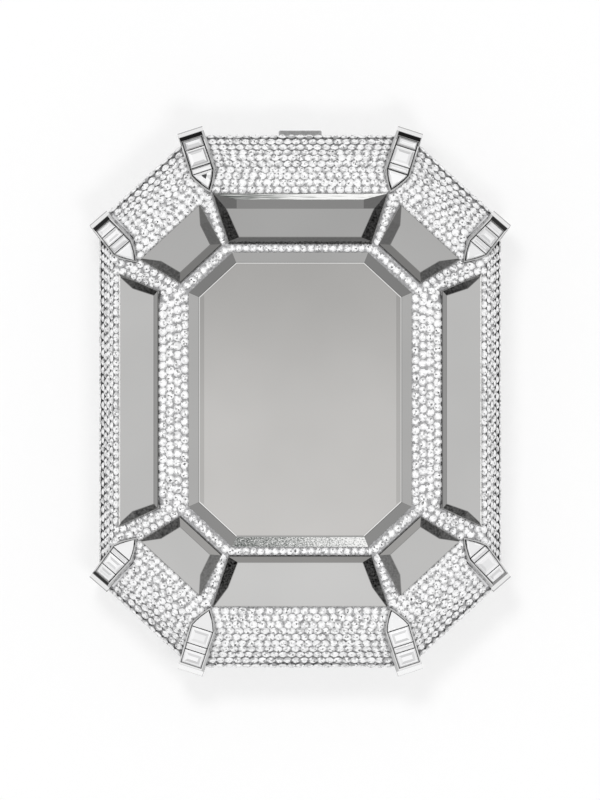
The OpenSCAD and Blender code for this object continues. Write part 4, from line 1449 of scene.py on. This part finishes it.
def screw_setter():
    tree, start = new_tree("screw_setter", {
        "Head Radius": 0.0008, "Head Height": 0.00044, "Slot Width": 0.00022, "Shank Radius": 0.00045,
        "Shank Length": 0.0024, "Seed": 11}, "Screws")
    head_r, head_h, shank_len = [(start, name) for name in ("Head Radius", "Head Height", "Shank Length")]
    head = cone(tree, 24, add_math(tree, "MULTIPLY", head_r, HEAD_TAPER), head_r, head_h, "NGON")
    cutter = add_node(tree, "GeometryNodeMeshCube", {
        "Size": vector_of(tree, add_math(tree, "MULTIPLY", head_r, SLOT_LEN), (start, "Slot Width"), head_h)})
    raised = shifted(tree, (cutter, "Mesh"), Translation=vector_of(tree, z=head_h))
    slotted = add_node(tree, "GeometryNodeMeshBoolean", {"Mesh 1": (head, "Mesh"), "Mesh 2": raised},
                       operation="DIFFERENCE")
    shank = add_node(tree, "GeometryNodeMeshCylinder", {"Vertices": 16, "Radius": (start, "Shank Radius"),
                                                        "Depth": shank_len})
    below = vector_of(tree, z=add_math(tree, "MULTIPLY", shank_len, SHANK_SINK))
    screw = joined(tree, (slotted, "Mesh"), shifted(tree, (shank, "Mesh"), Translation=below))
    turn = turned_to_facing(tree, start, (0, 0, 0), (0, 0, math.pi))
    return end_tree(tree, start, set_on_points(tree, start, screw, Rotation=turn), "Screws")


SCREW_SHARES, SCREW_PROUD, SCREW_Z = (-0.4, -0.13, 0.13, 0.4), 0.8, 3.556
screws_tree = screw_setter()
for half in HALVES:
    placed = [((2 * share * HINGE_HALF, -(END[0] - INNER_D) + SCREW_PROUD, SCREW_Z), (0, 1, 0), 1.0)
              for share in SCREW_SHARES]
    source = points_object("screw_places", placed, half)
    screws = grown(source, screws_tree, f"{half}_leaf_screws", {"Material": steel})
    settle(screws, body_of_half(half), "spring_steel", f"{half}_hinge_screws")
    print(screws.name, triangles(screws), "triangles")

# %% [markdown]
# ## Leather linings and their stitches
#
# Each half is lined with thin pewter leather, glued over board, so it follows the shell closely and
# is soft only at its folds. Its free edge by the rim is sewn down. The grain is a bump of small
# pebbles; the stitches are arched threads, half sunk in the leather, placed by Geometry Nodes.

# %% Leather and thread
lining_leather, tree, shader = new_finish("lining_leather", Roughness=0.46, Metallic=0.35)
pebbles = cells_on_object(tree, 1100, "SMOOTH_F1")
hide_stops = [(0.1, (0.56, 0.54, 0.53)), (0.6, (0.42, 0.405, 0.4))]
wire(tree, shader, {"Base Color": ramp_from(tree, pebbles, hide_stops),
                    "Normal": bump_from(tree, pebbles, -0.00012, 0.6)})
thread, tree, shader = new_finish("lining_thread", Roughness=0.6)
thread_stops = [(0.3, (0.36, 0.35, 0.34)), (0.7, (0.5, 0.49, 0.48))]
wire(tree, shader, {"Base Color": ramp_from(tree, noise_on_object(tree, 2500), thread_stops)})
for half in HALVES:
    lining = finish_copy(f"{half}_lining", f"{half}_leather", 0.5, lining_leather, body_of_half(half),
                         "lining_leather", sharp_from=9.0, segments=3)
    print(lining.name, triangles(lining), "triangles")


# %% The node tree that sews
def sewing():
    sizes = {"Stitch Length": 0.0016, "Thread Radius": 0.00016, "Arch": 0.00028, "Seed": 2}
    tree, start = new_tree("sewing", sizes, "Stitches")
    first, last = [vector_of(tree, add_math(tree, "MULTIPLY", (start, "Stitch Length"), share), z=-0.0001)
                   for share in (-0.5, 0.5)]
    line = add_node(tree, "GeometryNodeCurveQuadraticBezier", {
        "Resolution": 5, "Start": first, "End": last, "Middle": vector_of(tree, z=(start, "Arch"))})
    circle = add_node(tree, "GeometryNodeCurvePrimitiveCircle", {"Resolution": 6,
                                                                 "Radius": (start, "Thread Radius")})
    body = add_node(tree, "GeometryNodeCurveToMesh", {"Curve": (line, "Curve"),
                                                      "Profile Curve": (circle, "Curve"), "Fill Caps": True})
    turn = add_node(tree, "FunctionNodeAxesToRotation", {
        0: named(tree, "facing", "FLOAT_VECTOR"), 1: named(tree, "along", "FLOAT_VECTOR")},
        primary_axis="Z", secondary_axis="X")
    size = random_of(tree, start, {2: 0.92, 3: 1.06})
    real = set_on_points(tree, start, (body, "Mesh"), Rotation=(turn, "Rotation"), Scale=(size, 1))
    return end_tree(tree, start, real, "Stitches")


# %% Sew both linings along their edge
SEAM_Z, SEAM_STEP, SEAM_PITCH, SEAM_END, LATCH_HALF = 5.6, 0.3, 2.5, 0.5, 6.5
sewing_tree = sewing()
for half in HALVES:
    placed, along = [], []
    for i, (rings, angle) in enumerate(WALLS):
        r = reach_at(rings, SEAM_Z, INNER_D)
        u0, u1 = wall_span(i, r, lambda other: reach_at(other, SEAM_Z, INNER_D))
        below, above = [reach_at(rings, SEAM_Z + step, INNER_D) for step in (-SEAM_STEP, SEAM_STEP)]
        fall = math.atan2(below - above, 2 * SEAM_STEP)
        for u in share_out(u1 - u0 - 2 * SEAM_END, SEAM_PITCH, i % 2):
            x, y = wall_point(angle, r, u0 + SEAM_END + u)
            if half == "rear" and angle == quarter and abs(x) < LATCH_HALF:
                continue
            facing = (-math.cos(angle) * math.cos(fall), -math.sin(angle) * math.cos(fall), -math.sin(fall))
            placed.append(((x, y, SEAM_Z), facing, 1.0))
            along += [-math.sin(angle), math.cos(angle), 0.0]
    source = points_object("stitch_places", placed, half)
    source.data.attributes.new("along", "FLOAT_VECTOR", "POINT").data.foreach_set("vector", along)
    stitches = grown(source, sewing_tree, f"{half}_stitches", {"Material": thread})
    settle(stitches, body_of_half(half), "lining_leather")
    print(stitches.name, len(placed), "stitches", triangles(stitches), "triangles")

# %% [markdown]
# ## Shells and rims
#
# The shells lie under the stones and the leather and show only as an edge, and the bare rims already
# have their turned shape. These solids stay, and get the finish of plated and polished metal.

# %% Finishes for the solids that stay
for half in HALVES:
    for node, material in ((f"{half}_shell", plated), (f"{half}_rim", polished)):
        target = nodes[node]
        if not target.data.materials:
            target.data.materials.append(material)
        for place in target.material_slots:
            place.material = material
print("dressed solids: shells and rims")
